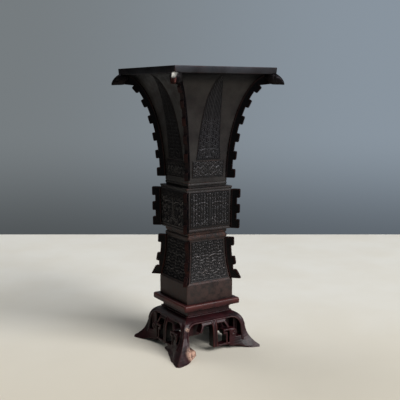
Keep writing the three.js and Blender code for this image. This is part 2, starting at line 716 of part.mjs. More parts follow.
// One side of a leg: border under the shoulder, short heel, and the toe
function legShape(side) {
  const shape = new THREE.Shape();
  const soleEnd = TOE_HALF - SOLE_LENGTH;
  const heelEase = side * (HEEL_HALF + SOLE_SWEEP);
  const soleEase = side * (soleEnd - SOLE_SWEEP);
  shape.moveTo(side * (ARCH_HALF - ARCH_WIDTH), APRON_BOTTOM);
  shape.quadraticCurveTo(side * ARCH_HALF, APRON_BOTTOM, side * ARCH_HALF, APRON_BOTTOM - ARCH_HEIGHT);
  shape.lineTo(side * ARCH_HALF, HEEL_TOP);
  shape.lineTo(side * (HEEL_HALF + HEEL_ROUND), HEEL_TOP);
  shape.quadraticCurveTo(side * HEEL_HALF, HEEL_TOP, side * HEEL_HALF, HEEL_TOP - HEEL_ROUND);
  shape.lineTo(side * HEEL_HALF, SOLE_LIFT);
  shape.bezierCurveTo(heelEase, SOLE_LIFT, soleEase, 0, side * soleEnd, 0);
  shape.lineTo(side * 2 * TOE_HALF, 0);
  shape.lineTo(side * 2 * TOE_HALF, LEG_HEIGHT);
  shape.lineTo(side * LEG_TOP_HALF, LEG_HEIGHT);
  return shape;
}

// Leg at the front right corner: two carved sides joined at the corner, and a tenon behind the waist
function legSolid(shell) {
  const front = carve(shell, [legShape(1)], -MITRE_OVERLAP);
  const right = toSolid(toGeometry(carve(shell, [legShape(-1)], -MITRE_OVERLAP)).rotateZ(QUARTER));
  const inner = TENON_HALF - TENON_WIDTH;
  const rootTop = APRON_BOTTOM - JOINT_GAP;
  const rootBottom = rootTop - TENON_ROOT;
  const outside = cabrioleCurve(SKIRT_HALF);
  const apronFace = outside.getPointAt(lengthShareAt(outside, 'y', APRON_BOTTOM)).x;
  const root = apronFace - BOARD - ROOT_CLEARANCE;
  const block = toSolid(box(inner, root, -root, -inner, rootBottom, rootTop));
  const tenon = toSolid(box(inner, TENON_HALF, -TENON_HALF, -inner, rootBottom, WAIST_TOP));
  return front.add(right).add(block).add(tenon).intersect(toSolid(roundedSquare()));
}

// Plan of the four toes: a square with round corners, standing full height
function roundedSquare() {
  const straight = TOE_HALF - TOE_ROUND;
  const shape = new THREE.Shape();
  TURNS.forEach((turn) => {
    const centre = at(straight, straight).rotateAround(at(0, 0), turn * QUARTER);
    shape.absarc(centre.x, centre.y, TOE_ROUND, turn * QUARTER, (turn + 1) * QUARTER);
  });
  const options = { depth: STAND_HEIGHT, bevelEnabled: false, curveSegments: ARC_STEPS };
  return new THREE.ExtrudeGeometry(shape, options);
}

// Fret between the centre post and the leg: a block over the heel, a curl on it, and an angular ribbon
function fretShapes(side) {
  const outline = (...corners) => polygon(...corners.map(([x, z]) => [side * x, z]));
  const bar = (x0, x1, z0, z1) => outline([x0, z0], [x1, z0], [x1, z1], [x0, z1]);
  const heel = HEEL_HALF - JOINT_GAP;
  const border = ARCH_HALF - JOINT_GAP;
  const overHeel = HEEL_TOP + JOINT_GAP;
  const block = [
    bar(BLOCK_HALF, heel, SOLE_LIFT, BLOCK_TOP),
    bar(BLOCK_HALF, border, overHeel, BLOCK_TOP),
  ];
  const curlLeft = BLOCK_HALF + CURL_INSET;
  const curlTop = BLOCK_TOP + CURL_HEIGHT;
  const curlX = curlLeft + CURL_RADIUS;
  const curlZ = curlTop - CURL_RADIUS;
  const stem = BLOCK_TOP - FRET_BAR;
  const head = new THREE.EllipseCurve(curlX, curlZ, CURL_RADIUS, CURL_RADIUS, -CURL_START, QUARTER);
  const round = head.getPoints(ARC_STEPS).map((p) => [p.x, p.y]);
  const curl = outline([curlLeft, stem], [curlX, stem], ...round, [curlLeft, curlTop]);
  const loopLeft = BLOCK_HALF - FRET_LOOP_WIDTH;
  const loopBottom = curlTop - FRET_LOOP_HEIGHT;
  const riser = BLOCK_HALF - FRET_RISER_GAP;
  const ribbon = [
    bar(loopLeft, curlX, curlTop - FRET_BAR, curlTop),
    bar(loopLeft, loopLeft + FRET_BAR, loopBottom, curlTop),
    bar(loopLeft, riser, loopBottom, loopBottom + FRET_BAR),
    bar(riser - FRET_BAR, riser, POST_LIFT, loopBottom + FRET_BAR),
    bar(POST_HALF + JOINT_GAP, BLOCK_HALF + FRET_BAR, POST_LIFT, POST_LIFT + FRET_BAR),
  ];
  return [...block, curl, ...ribbon];
}

// Assembly

function addPiece(parent, name, solid, material, turn = 0) {
  const mesh = new THREE.Mesh(toGeometry(solid), material);
  mesh.name = name;
  mesh.rotation.z = turn * QUARTER;
  parent.add(mesh);
}

function addAtCorners(parent, prefix, solid, material) {
  CORNERS.forEach((corner, turn) => addPiece(parent, `${prefix}_${corner}`, solid, material, turn));
}

function addOnSides(parent, prefix, solid, material) {
  SIDES.forEach((side, turn) => addPiece(parent, `${prefix}_${side}`, solid, material, turn));
}

function buildVase() {
  const vase = new THREE.Group();
  vase.name = 'vase';
  addPiece(vase, 'foot_casting', footSolid(), bronze);
  addPiece(vase, 'base_plate', basePlateSolid(), bareBronze);
  addPiece(vase, 'knop_casting', knopSolid(), bronze);
  addPiece(vase, 'neck_casting', neckSolid(), bronze);
  addPiece(vase, 'mouth_rim', toSolid(squareTurning(rimProfile())), bronze);
  addAtCorners(vase, 'foot_flange', footFlangeSolid(), bronze);
  addAtCorners(vase, 'knop_flange', knopFlangeSolid(), bronze);
  addAtCorners(vase, 'neck_flange', neckFlangeSolid(), bronze);
  return vase;
}

function buildStand() {
  const stand = new THREE.Group();
  stand.name = 'stand';
  addPiece(stand, 'seat_panel', seatPanelSolid(), hardwood);
  addOnSides(stand, 'top_rail', mitredFront(topRailProfile()), hardwood);
  addOnSides(stand, 'waist_strip', mitredFront(waistProfile()), hardwood);
  const boardShell = carvedShell(BOARD);
  addOnSides(stand, 'apron', carve(boardShell, [apronShape()], JOINT_GAP), hardwood);
  addAtCorners(stand, 'leg', legSolid(carvedShell(LEG_THICKNESS)), hardwood);
  const frets = {
    next: carve(boardShell, fretShapes(1), JOINT_GAP),
    previous: carve(boardShell, fretShapes(-1), JOINT_GAP),
  };
  SIDES.forEach((side, turn) => {
    const neighbours = { next: SIDES[(turn + 1) % 4], previous: SIDES[(turn + 3) % 4] };
    Object.keys(frets).forEach((half) => {
      const name = `fret_${side}_${neighbours[half]}`;
      if (name !== LOST_FRET) addPiece(stand, name, frets[half], hardwood, turn);
    });
  });
  return stand;
}

const object = new THREE.Group();
object.name = 'bronze_square_vase_on_stand';
object.add(buildVase(), buildStand());

export default object;
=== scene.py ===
"""Looks of a square bronze vase on a pierced hardwood stand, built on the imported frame."""

import logging
import math
from dataclasses import dataclass, field, replace
from enum import Enum
from functools import partial
from typing import Callable, Sequence

import bmesh
import bpy
import numpy as np
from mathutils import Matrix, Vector


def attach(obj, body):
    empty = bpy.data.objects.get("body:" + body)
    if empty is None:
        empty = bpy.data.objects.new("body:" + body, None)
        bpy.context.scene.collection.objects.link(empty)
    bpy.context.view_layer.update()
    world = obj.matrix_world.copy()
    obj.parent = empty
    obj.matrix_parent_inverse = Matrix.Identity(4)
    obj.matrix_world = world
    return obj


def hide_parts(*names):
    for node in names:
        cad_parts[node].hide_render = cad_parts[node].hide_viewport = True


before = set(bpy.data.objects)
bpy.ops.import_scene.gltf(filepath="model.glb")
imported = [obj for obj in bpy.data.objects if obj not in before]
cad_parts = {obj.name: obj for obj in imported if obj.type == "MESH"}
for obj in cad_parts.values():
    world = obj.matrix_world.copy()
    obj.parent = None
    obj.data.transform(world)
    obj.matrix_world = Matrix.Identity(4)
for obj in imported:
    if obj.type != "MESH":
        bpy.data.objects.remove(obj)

Array = np.ndarray
Pair = tuple[float, float]
Color = tuple[float, float, float]
Profile = list[Sequence[float]]
Socket = bpy.types.NodeSocket

LOG = logging.getLogger("square_vase")
MM = 0.001
WELD = 1e-6
QUARTER = math.pi / 2
ROOT2 = math.sqrt(2)
ROUND_STEPS = (0.0, 0.35, 0.65, 1.0)
CORNERS = ("front_right", "back_right", "back_left", "front_left")
SIDES = ("front", "right", "back", "left")


class Body(Enum):
    """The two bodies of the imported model."""

    VASE = "vase"
    STAND = "stand"


class Slot(Enum):
    """The record's material slots for drawn pieces."""

    BRONZE = "bronze"
    WOOD = "wood"


def ramp(low: float, high: float, x: Array) -> Array:
    """Smooth step of x from 0 at low to 1 at high."""
    t = np.clip((x - low) / (high - low), 0.0, 1.0)
    return t * t * (3.0 - 2.0 * t)


def unit(vectors: Array) -> Array:
    """Vectors scaled to length 1."""
    return vectors / np.linalg.norm(vectors, axis=-1, keepdims=True)


def bezier(shares: Sequence[float], *controls: Sequence[float]) -> Array:
    """Points at these shares of the way along a Bezier curve.

    Args:
        shares: Shares of the way, 0 to 1.
        controls: Control points from start to end.

    Returns:
        One point for each share.
    """
    t = np.asarray(shares, float)[:, None]
    last = len(controls) - 1
    weights = (math.comb(last, i) * t ** i * (1 - t) ** (last - i) for i in range(last + 1))
    return sum(weight * np.asarray(control) for weight, control in zip(weights, controls))


def turned(points: Array, turn: int) -> Array:
    """Points turned about the upright axis by a number of quarter turns.

    Args:
        points: Points in space.
        turn: Quarter turns, anticlockwise as seen from above.

    Returns:
        The turned points.
    """
    c, s = ((1, 0), (0, 1), (-1, 0), (0, -1))[turn % 4]
    x, y, z = points[..., 0], points[..., 1], points[..., 2]
    return np.stack([c * x - s * y, s * x + c * y, z], -1)


def on_diagonal(points: Array, aside: Array | float, turn: int) -> Array:
    """Points of a corner's diagonal plane set in space, moved aside from that plane.

    Args:
        points: Distances along the diagonal and heights.
        aside: Distance from the plane.
        turn: Corner, counted in quarter turns from the front right.

    Returns:
        Points in space.
    """
    angle = -math.pi / 4 + turn * QUARTER
    c, s = math.cos(angle), math.sin(angle)
    along = points[..., 0]
    return np.stack([along * c - aside * s, along * s + aside * c, points[..., 1]], -1)


def add_object(name: str, data: bpy.types.ID) -> bpy.types.Object:
    """Make an object of a mesh, camera or lamp and put it in the scene.

    Args:
        name: Name of the object.
        data: The mesh, camera or lamp.

    Returns:
        The object.
    """
    made = bpy.data.objects.new(name, data)
    bpy.context.scene.collection.objects.link(made)
    return made


class Curve:
    """A rising outline of half-widths and heights, measured along its length in millimetres."""

    NORMAL_STEP = 0.004

    def __init__(self, points: Array) -> None:
        """Keep the points and their running lengths.

        Args:
            points: Half-widths and heights along the outline.
        """
        self.points = np.asarray(points, float)
        steps = np.hypot(*np.diff(self.points, axis=0).T)
        self.lengths = np.concatenate([[0.0], np.cumsum(steps)])
        self.length = float(self.lengths[-1])

    def at(self, distance: Array | float) -> Array:
        """Points at these distances along the curve."""
        return np.stack([np.interp(distance, self.lengths, self.points[:, k]) for k in (0, 1)], -1)

    def outward(self, distance: Array | float) -> Array:
        """Unit normals to the right of the direction of travel.

        Args:
            distance: Distances along the curve.

        Returns:
            One normal for each distance.
        """
        step = self.length * self.NORMAL_STEP
        run = unit(self.at(np.asarray(distance) + step) - self.at(np.asarray(distance) - step))
        return np.stack([run[..., 1], -run[..., 0]], -1)

    def offset(self, distance: Array | float, reach: Array | float) -> Array:
        """Points beside the curve."""
        return self.at(distance) + self.outward(distance) * np.asarray(reach)[..., None]

    def distance_at(self, axis: int, value: Array | float) -> Array:
        """Distance along the curve at a half-width (axis 0) or a height (axis 1)."""
        return np.interp(value, self.points[:, axis], self.lengths)


class Draft:
    """Vertices, faces and surface masks of one piece, in millimetres.

    The masks are shares, 0 to 1, of carved field, height of relief and rubbed surface.
    """

    SLIVER = 1e-7

    def __init__(self) -> None:
        """Start with nothing drawn."""
        self.points: list[Array] = []
        self.faces: list[list[int]] = []
        self.masks: dict[str, list[Array]] = {"field": [], "relief": [], "rub": []}
        self.count = 0

    def keep(self, points: Array, masks: dict[str, Array | float]) -> Array:
        """Store points with their masks.

        Args:
            points: Points in rows or in one ring.
            masks: Surface masks by name.

        Returns:
            Number of each point in the piece.
        """
        index = np.arange(points[..., 0].size).reshape(points.shape[:-1]) + self.count
        self.points.append(points.reshape(-1, 3))
        for label, parts in self.masks.items():
            parts.append(np.broadcast_to(masks.get(label, 0.0), index.shape).reshape(-1))
        self.count += index.size
        return index

    def grid(self, points: Array, wrap: bool = False, **masks: Array | float) -> None:
        """Add a grid of quads that faces outwards when rows rise and columns run anticlockwise.

        Args:
            points: Rows and columns of points.
            wrap: Joins the last column to the first.
            masks: Surface masks by name.
        """
        index = self.keep(points, masks)
        left = index if wrap else index[:, :-1]
        right = np.roll(index, -1, axis=1) if wrap else index[:, 1:]
        quads = np.stack([left[:-1], right[:-1], right[1:], left[1:]], -1)
        self.faces += quads.reshape(-1, 4).tolist()

    def polygon(self, ring: Array, **masks: float) -> None:
        """Add one flat face, listed anticlockwise as seen from outside."""
        self.faces.append(self.keep(ring, masks).tolist())

    def cap(self, ring: Array) -> None:
        """Close a ring of points, listed anticlockwise as seen from outside, with a fan."""
        rim = np.concatenate([ring, ring[:1]])
        self.grid(np.stack([rim, np.repeat(ring.mean(axis=0)[None], len(rim), 0)]))

    def bar(self, rings: Array, **masks: Array | float) -> None:
        """Add a closed bar whose rings run anticlockwise as seen from its last end.

        Args:
            rings: Rings of points along the bar.
            masks: Surface masks by name.
        """
        self.grid(rings, wrap=True, **masks)
        self.cap(rings[-1])
        self.cap(rings[0][::-1])

    def to_object(self, name: str) -> bpy.types.Object:
        """Make the Blender object, with the masks as point attributes.

        Args:
            name: Name of the piece.

        Returns:
            The object, in the scene.
        """
        mesh = bpy.data.meshes.new(name)
        mesh.from_pydata(np.concatenate(self.points) * MM, [], self.faces)
        for label, parts in self.masks.items():
            layer = mesh.attributes.new(label, "FLOAT", "POINT")
            layer.data.foreach_set("value", np.concatenate(parts).astype(np.float32))
        weld = bmesh.new()
        weld.from_mesh(mesh)
        bmesh.ops.remove_doubles(weld, verts=weld.verts, dist=WELD)
        bmesh.ops.dissolve_degenerate(weld, edges=weld.edges, dist=self.SLIVER)
        weld.to_mesh(mesh)
        weld.free()
        return add_object(name, mesh)


def finish_piece(
    piece: bpy.types.Object, body: Body, material: bpy.types.Material, nodes: Sequence[str] = ()
) -> None:
    """Dress a piece, set it on its body and report it.

    Args:
        piece: The object in place.
        body: Body that it rides on.
        material: Its finish.
        nodes: CAD nodes that it stands for.
    """
    piece.data.materials.clear()
    piece.data.materials.append(material)
    piece.data.shade_smooth()
    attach(piece, body.value)
    if nodes:
        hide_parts(*nodes)
    LOG.info("%s rides on %s, %d faces", piece.name, body.value, len(piece.data.polygons))


def square_ring(half: float, radius: float, beside: float = 1.3, most_beside: float = 0.3) -> Array:
    """Square with rounded corners, anticlockwise from the left end of its front side.

    Args:
        half: Half-width.
        radius: Rounding of the corners.
        beside: Distance from each corner of a point that keeps the shading flat.
        most_beside: The most of the straight side that this distance may take.

    Returns:
        Points across and deep.
    """
    straight = half - radius
    near = min(beside, most_beside * straight)
    flat = np.array([-straight, near - straight, -straight / 3, straight / 3, straight - near, straight])
    angles = np.linspace(-QUARTER, 0.0, 5)[1:-1]
    across = np.concatenate([flat, straight + radius * np.cos(angles)])
    deep = np.concatenate([np.full(flat.shape, -half), -straight + radius * np.sin(angles)])
    side = np.stack([across, deep, np.zeros(across.shape)], -1)
    return np.concatenate([turned(side, turn) for turn in range(4)])[:, :2]


def square_turning(draft: Draft, profile: Array, radius: float, rub: Array | float = 0.0) -> None:
    """Add a square section swept round a closed profile of half-widths and heights.

    Args:
        draft: Piece to add to.
        profile: Points up the outside and down the inside.
        radius: Rounding of the upright corners.
        rub: Wear at each point of the profile.
    """
    most_round = 0.4
    worn = np.broadcast_to(rub, len(profile))
    rings = [
        np.insert(square_ring(half, min(radius, most_round * half)), 2, height, axis=1)
        for half, height in np.concatenate([profile, profile[:1]])
    ]
    draft.grid(np.stack(rings), wrap=True, rub=np.append(worn, worn[0])[:, None])


def inset_loop(loop: Array, depth: float) -> Array:
    """An anticlockwise loop drawn in by a depth, square to each of its sides.

    Args:
        loop: Points of the loop.
        depth: Distance to draw it in.

    Returns:
        The smaller loop, point for point.
    """
    run = unit(np.roll(loop, -1, 0) - loop)
    left = np.stack([-run[:, 1], run[:, 0]], -1)
    before = np.roll(left, 1, 0)
    return loop + depth * (left + before) / (1.0 + (left * before).sum(axis=1))[:, None]


def soften(profile: Profile, radius: float, least_turn: float = 0.35, most_cut: float = 0.45) -> Array:
    """A closed profile with each sharp corner cut back into a small round.

    Args:
        profile: Points of the profile.
        radius: Distance that is cut back on each side of a corner.
        least_turn: Angle in radians below which a corner is left alone.
        most_cut: The most of a side that may be cut.

    Returns:
        Points of the softened profile.
    """
    points = np.asarray(profile, float)
    made = []
    for before, here, after in zip(np.roll(points, 1, 0), points, np.roll(points, -1, 0)):
        into, out = here - before, after - here
        if abs(math.atan2(into[0] * out[1] - into[1] * out[0], into @ out)) < least_turn:
            made.append(here)
            continue
        cut = min(radius, most_cut * np.hypot(*into), most_cut * np.hypot(*out))
        made += [*bezier(ROUND_STEPS, here - cut * unit(into), here, here + cut * unit(out))]
    return np.array(made)


def moulded(half: float, height: float, steps: Sequence[Pair]) -> list[Pair]:
    """Points of a moulding, set out and up from a half-width and a height."""
    return [(half + out, height + up) for out, up in steps]


def spirals(
    u: Array, v: Array, pitch: float, turns: float = 1.35,
    slope: Pair = (-0.35, 0.45), margin: Pair = (0.45, 0.49),
) -> Array:
    """Thunder pattern: square spirals in rows, each the mirror of its neighbour.

    Args:
        u: Distance across.
        v: Distance up.
        pitch: Size of one spiral.
        turns: Windings of each spiral.
        slope: Values of the wave at the foot and at the crown of a ridge.
        margin: Shares of the pitch over which a spiral sinks at its edge.

    Returns:
        1 on the ridges and 0 in the grooves.
    """
    column, row = np.floor(u / pitch), np.floor(v / pitch)
    p = u / pitch - column - 0.5
    q = v / pitch - row - 0.5
    p = np.where((column + row) % 2 == 0, p, -p)
    radius = np.maximum(np.abs(p), np.abs(q))
    wave = np.cos(2 * math.pi * (2 * turns * radius - np.arctan2(q, p) / (2 * math.pi)))
    return ramp(*slope, wave) * (1.0 - ramp(*margin, radius))


def stroke(
    u: Array, v: Array, points: Sequence[Pair], width: float, foot: float = 0.15, crown: float = 0.2
) -> Array:
    """Raised line along a chain of points.

    Args:
        u: Distance across.
        v: Distance up.
        points: Chain of points.
        width: Width of the line.
        foot: How far outside its edge the line starts to rise.
        crown: How far inside its edge it is at full height.

    Returns:
        1 on the line and 0 beside it.
    """
    best = np.full(np.broadcast(u, v).shape, np.inf)
    for (x0, y0), (x1, y1) in zip(points, points[1:]):
        dx, dy = x1 - x0, y1 - y0
        t = np.clip(((u - x0) * dx + (v - y0) * dy) / (dx * dx + dy * dy), 0.0, 1.0)
        best = np.minimum(best, np.hypot(u - x0 - t * dx, v - y0 - t * dy))
    return ramp(width / 2 + foot, width / 2 - crown, best)


def scroll(
    centre: Pair, radius: float, start: float, sweep: float, wind: float = 0.62, count: int = 17
) -> Array:
    """Points of a C-scroll that winds inwards.

    Args:
        centre: Its centre.
        radius: Radius at its outer end.
        start: Angle at its outer end.
        sweep: Angle that it turns through.
        wind: Share of the radius that it loses on the way.
        count: Number of points.

    Returns:
        Points from the outer end to the inner.
    """
    t = np.linspace(0.0, 1.0, count)
    angle, reach = start + sweep * t, radius * (1.0 - wind * t)
    return np.stack([centre[0] + reach * np.cos(angle), centre[1] + reach * np.sin(angle)], -1)


def boss(u: Array, v: Array, centre: Pair, across: float, up: float) -> Array:
    """Bulging eye with a sunk ring and a sunk pupil.

    Args:
        u: Distance across.
        v: Distance up.
        centre: Its centre.
        across: Half its width.
        up: Half its height.

    Returns:
        Height share.
    """
    r = np.hypot((u - centre[0]) / across, (v - centre[1]) / up)
    dome = np.sqrt(np.clip(1.0 - r * r, 0.0, 1.0))
    ring_place, ring_half, ring_depth = 0.55, 0.12, 0.35
    pupil_edge, pupil_floor, pupil_depth = 0.2, 0.05, 0.3
    ring = ring_depth * ramp(ring_half, 0.0, np.abs(r - ring_place))
    return dome - ring - pupil_depth * ramp(pupil_edge, pupil_floor, r)


@dataclass(frozen=True)
class Figure:
    """A mirrored figure of raised lines, scrolls and an eye, given for its right half.

    A line is a chain of points and a width. A scroll is a centre, radius, start, sweep and width.
    """

    lines: tuple[tuple[tuple[Pair, ...], float], ...]
    eye: tuple[Pair, float, float]
    eye_rise: float = 1.0
    scrolls: tuple[tuple[Pair, float, float, float, float], ...] = ()

    def height(self, u: Array, v: Array) -> Array:
        """Height share of the figure.

        Args:
            u: Distance across from its middle.
            v: Distance up.

        Returns:
            1 on the lines and 0 on the ground.
        """
        x = np.abs(u)
        chains = [*self.lines, *((scroll(*shape), width) for *shape, width in self.scrolls)]
        parts = [stroke(x, v, chain, width) for chain, width in chains]
        return np.maximum.reduce([*parts, self.eye_rise * boss(x, v, *self.eye)])


# Half the width of the panel that the mask is drawn for, in the mask's own units.
MASK_HALF = 20.0
MASK = Figure(
    lines=(
        (((0.0, 11.0), (0.0, -8.5)), 1.3),
        (((2.6, 6.2), (5.0, 7.4), (9.6, 7.6), (13.4, 6.2)), 1.2),
        (((12.6, -0.6), (15.2, 2.2), (17.8, -0.6), (15.2, -3.4), (13.8, -2.0)), 1.0),
        (((3.0, -13.2), (6.4, -10.2), (9.8, -13.2), (13.2, -10.2), (17.4, -13.0)), 1.1),
    ),
    eye=((7.6, 1.4), 2.7, 1.8),
    eye_rise=0.85,
    scrolls=(((3.2, -9.8), 2.3, math.pi * 0.9, -4.4, 1.0), ((15.4, 8.8), 2.6, math.pi * 1.2, 5.6, 1.0)),
)
DRAGONS = Figure(
    lines=(
        (((3.2, 0.6), (6.0, 3.0), (9.4, 0.6), (12.4, 2.6), (15.0, -0.6)), 1.5),
        (((3.4, 1.0), (1.8, -0.6), (2.2, -2.8)), 1.1),
        (((4.8, 0.0), (4.6, -3.4)), 1.0),
        (((8.6, 1.0), (8.8, -2.8), (6.8, -4.0)), 1.1),
        (((0.0, 4.4), (0.0, -4.4)), 0.9),
    ),
    eye=((5.4, 2.0), 1.0, 0.9),
    scrolls=(((14.0, -2.6), 2.2, math.pi * 0.4, -5.0, 1.0),),
)
LEAF_FACE = Figure(
    lines=(
        (((1.6, 10.2), (5.0, 11.0), (9.6, 9.4)), 1.0),
        (((0.0, 11.0), (0.0, 3.0), (2.6, 2.4)), 1.1),
    ),
    eye=((5.2, 7.0), 1.6, 1.2),
)


@dataclass
class BirdHead:
    """Head with a hooked beak, a crest, scales, a mouth line and eyes. Sizes in millimetres.

    A station is a distance behind the beak's tip, the underside above the beak's level, the top above
    the rim's underside, and a half-width.
    """

    stations: tuple[tuple[float, float, float, float], ...] = (
        (19.0, 4.5, 0.6, 2.6), (16.5, 1.6, 0.8, 4.0), (14.0, 0.2, 0.9, 5.0), (11.0, -0.4, 0.9, 5.4),
        (8.2, -0.5, 0.3, 4.6), (5.4, -0.5, -1.5, 3.6), (3.0, -0.6, -3.7, 3.0), (1.3, -0.7, -6.0, 2.5),
        (0.4, -0.7, -7.9, 1.9), (0.05, -0.5, -9.2, 0.9))
    rings: int = 61
    columns: int = 48
    squareness: float = 0.72
    scale_length: float = 1.5
    scale_height: float = 1.7
    scale_rise: float = 0.28
    scale_slope: Pair = (0.62, 0.35)
    scales_from: float = 7.6
    mouth_height: float = 2.6
    mouth_slope: float = 0.12
    mouth_length: float = 9.0
    mouth_half: float = 0.4
    mouth_depth: float = 0.5
    eye_back: float = 7.4
    eye_height: float = 6.0
    eye_radius: float = 1.9
    eye_rise: float = 0.75
    pupil_radius: float = 1.3
    pupil_half: float = 0.3
    pupil_depth: float = 0.35
    cheek: float = 0.5
    full_relief: float = 0.6
    crown_across: Pair = (0.8, 0.3)
    crown_up: Pair = (0.4, 0.65)
    crown_back: Pair = (9.0, 6.0)
    beak_up: Pair = (0.6, 0.45)
    beak_back: Pair = (3.6, 2.4)
    scale_rub: float = 0.07
    smoothing: int = 3

    def sections(self) -> tuple[Array, ...]:
        """Rings of the head, evened out between the stations.

        Returns:
            Distance behind the tip, underside, top and half-width of each ring.
        """
        given = np.array(self.stations).T
        shares = np.linspace(0.0, 1.0, given.shape[1])
        made = [np.interp(np.linspace(0.0, 1.0, self.rings), shares, row) for row in given]
        for _ in range(self.smoothing):
            for a in made:
                a[1:-1] = (a[:-2] + 2 * a[1:-1] + a[2:]) / 4
        return tuple(made)

    def relief(self, back: Array, up: Array) -> Array:
        """Height of scales, mouth line and eye.

        Args:
            back: Distance behind the tip.
            up: Height above the beak's level.

        Returns:
            Height above the bare head.
        """
        along, row = back / self.scale_length, np.floor(back / self.scale_length)
        scale = np.hypot(along % 1.0, (up / self.scale_height + 0.5 * (row % 2)) % 1.0 - 0.5)
        rise = self.scale_rise * ramp(*self.scale_slope, scale) * (back > self.scales_from)
        mouth = np.abs(up - self.mouth_height - self.mouth_slope * back)
        rise -= self.mouth_depth * ramp(self.mouth_half, 0.0, mouth) * (back < self.mouth_length)
        eye = np.hypot(back - self.eye_back, up - self.eye_height)
        ball = self.eye_rise * np.sqrt(np.clip(1 - (eye / self.eye_radius) ** 2, 0, 1))
        rise = np.where(eye < self.eye_radius, ball, rise)
        return rise - self.pupil_depth * ramp(self.pupil_half, 0.0, np.abs(eye - self.pupil_radius))

    def draw(self, tip: float, low: float, roof: float, rub: float, turn: int) -> Draft:
        """Draw the head at one corner.

        Args:
            tip: Distance of the beak's tip along the diagonal.
            low: Level of the beak.
            roof: Level of the rim's underside.
            rub: How far its crown and beak are rubbed bright, partly a painted highlight.
            turn: Corner, counted in quarter turns from the front right.

        Returns:
            The head, in place.
        """
        back, bottom, top, half = (row[:, None] for row in self.sections())
        bottom, top = low + bottom, roof + top
        angle = np.linspace(0.0, 2 * math.pi, self.columns, endpoint=False)
        side, rise = (np.sign(w) * np.abs(w) ** self.squareness for w in (np.cos(angle), np.sin(angle)))
        across, up = side * half, (top + bottom) / 2 + rise * (top - bottom) / 2
        back = np.repeat(back, self.columns, 1)
        rise = self.relief(back, up - low)
        across = across + np.sign(across) * rise * (np.abs(across) > self.cheek * half)
        relief = np.clip(rise / self.full_relief, 0.0, 1.0)
        share = (up - low) / (roof - low)
        # The crown and scales get the rub mask, painted whitish on the heads: partly wear, partly a painted
        # highlight.
        crown = rub * ramp(*self.crown_across, np.abs(across) / half)
        crown = crown * ramp(*self.crown_up, share) * ramp(*self.crown_back, back)
        shine = np.maximum(crown, self.scale_rub * rub * relief * (back > self.scales_from))
        beak = rub * ramp(*self.beak_back, back) * ramp(*self.beak_up, share)
        draft = Draft()
        points = on_diagonal(np.stack([tip - back, up], -1), across, turn)
        draft.bar(points, field=beak, relief=np.maximum(relief, beak), rub=shine)
        return draft


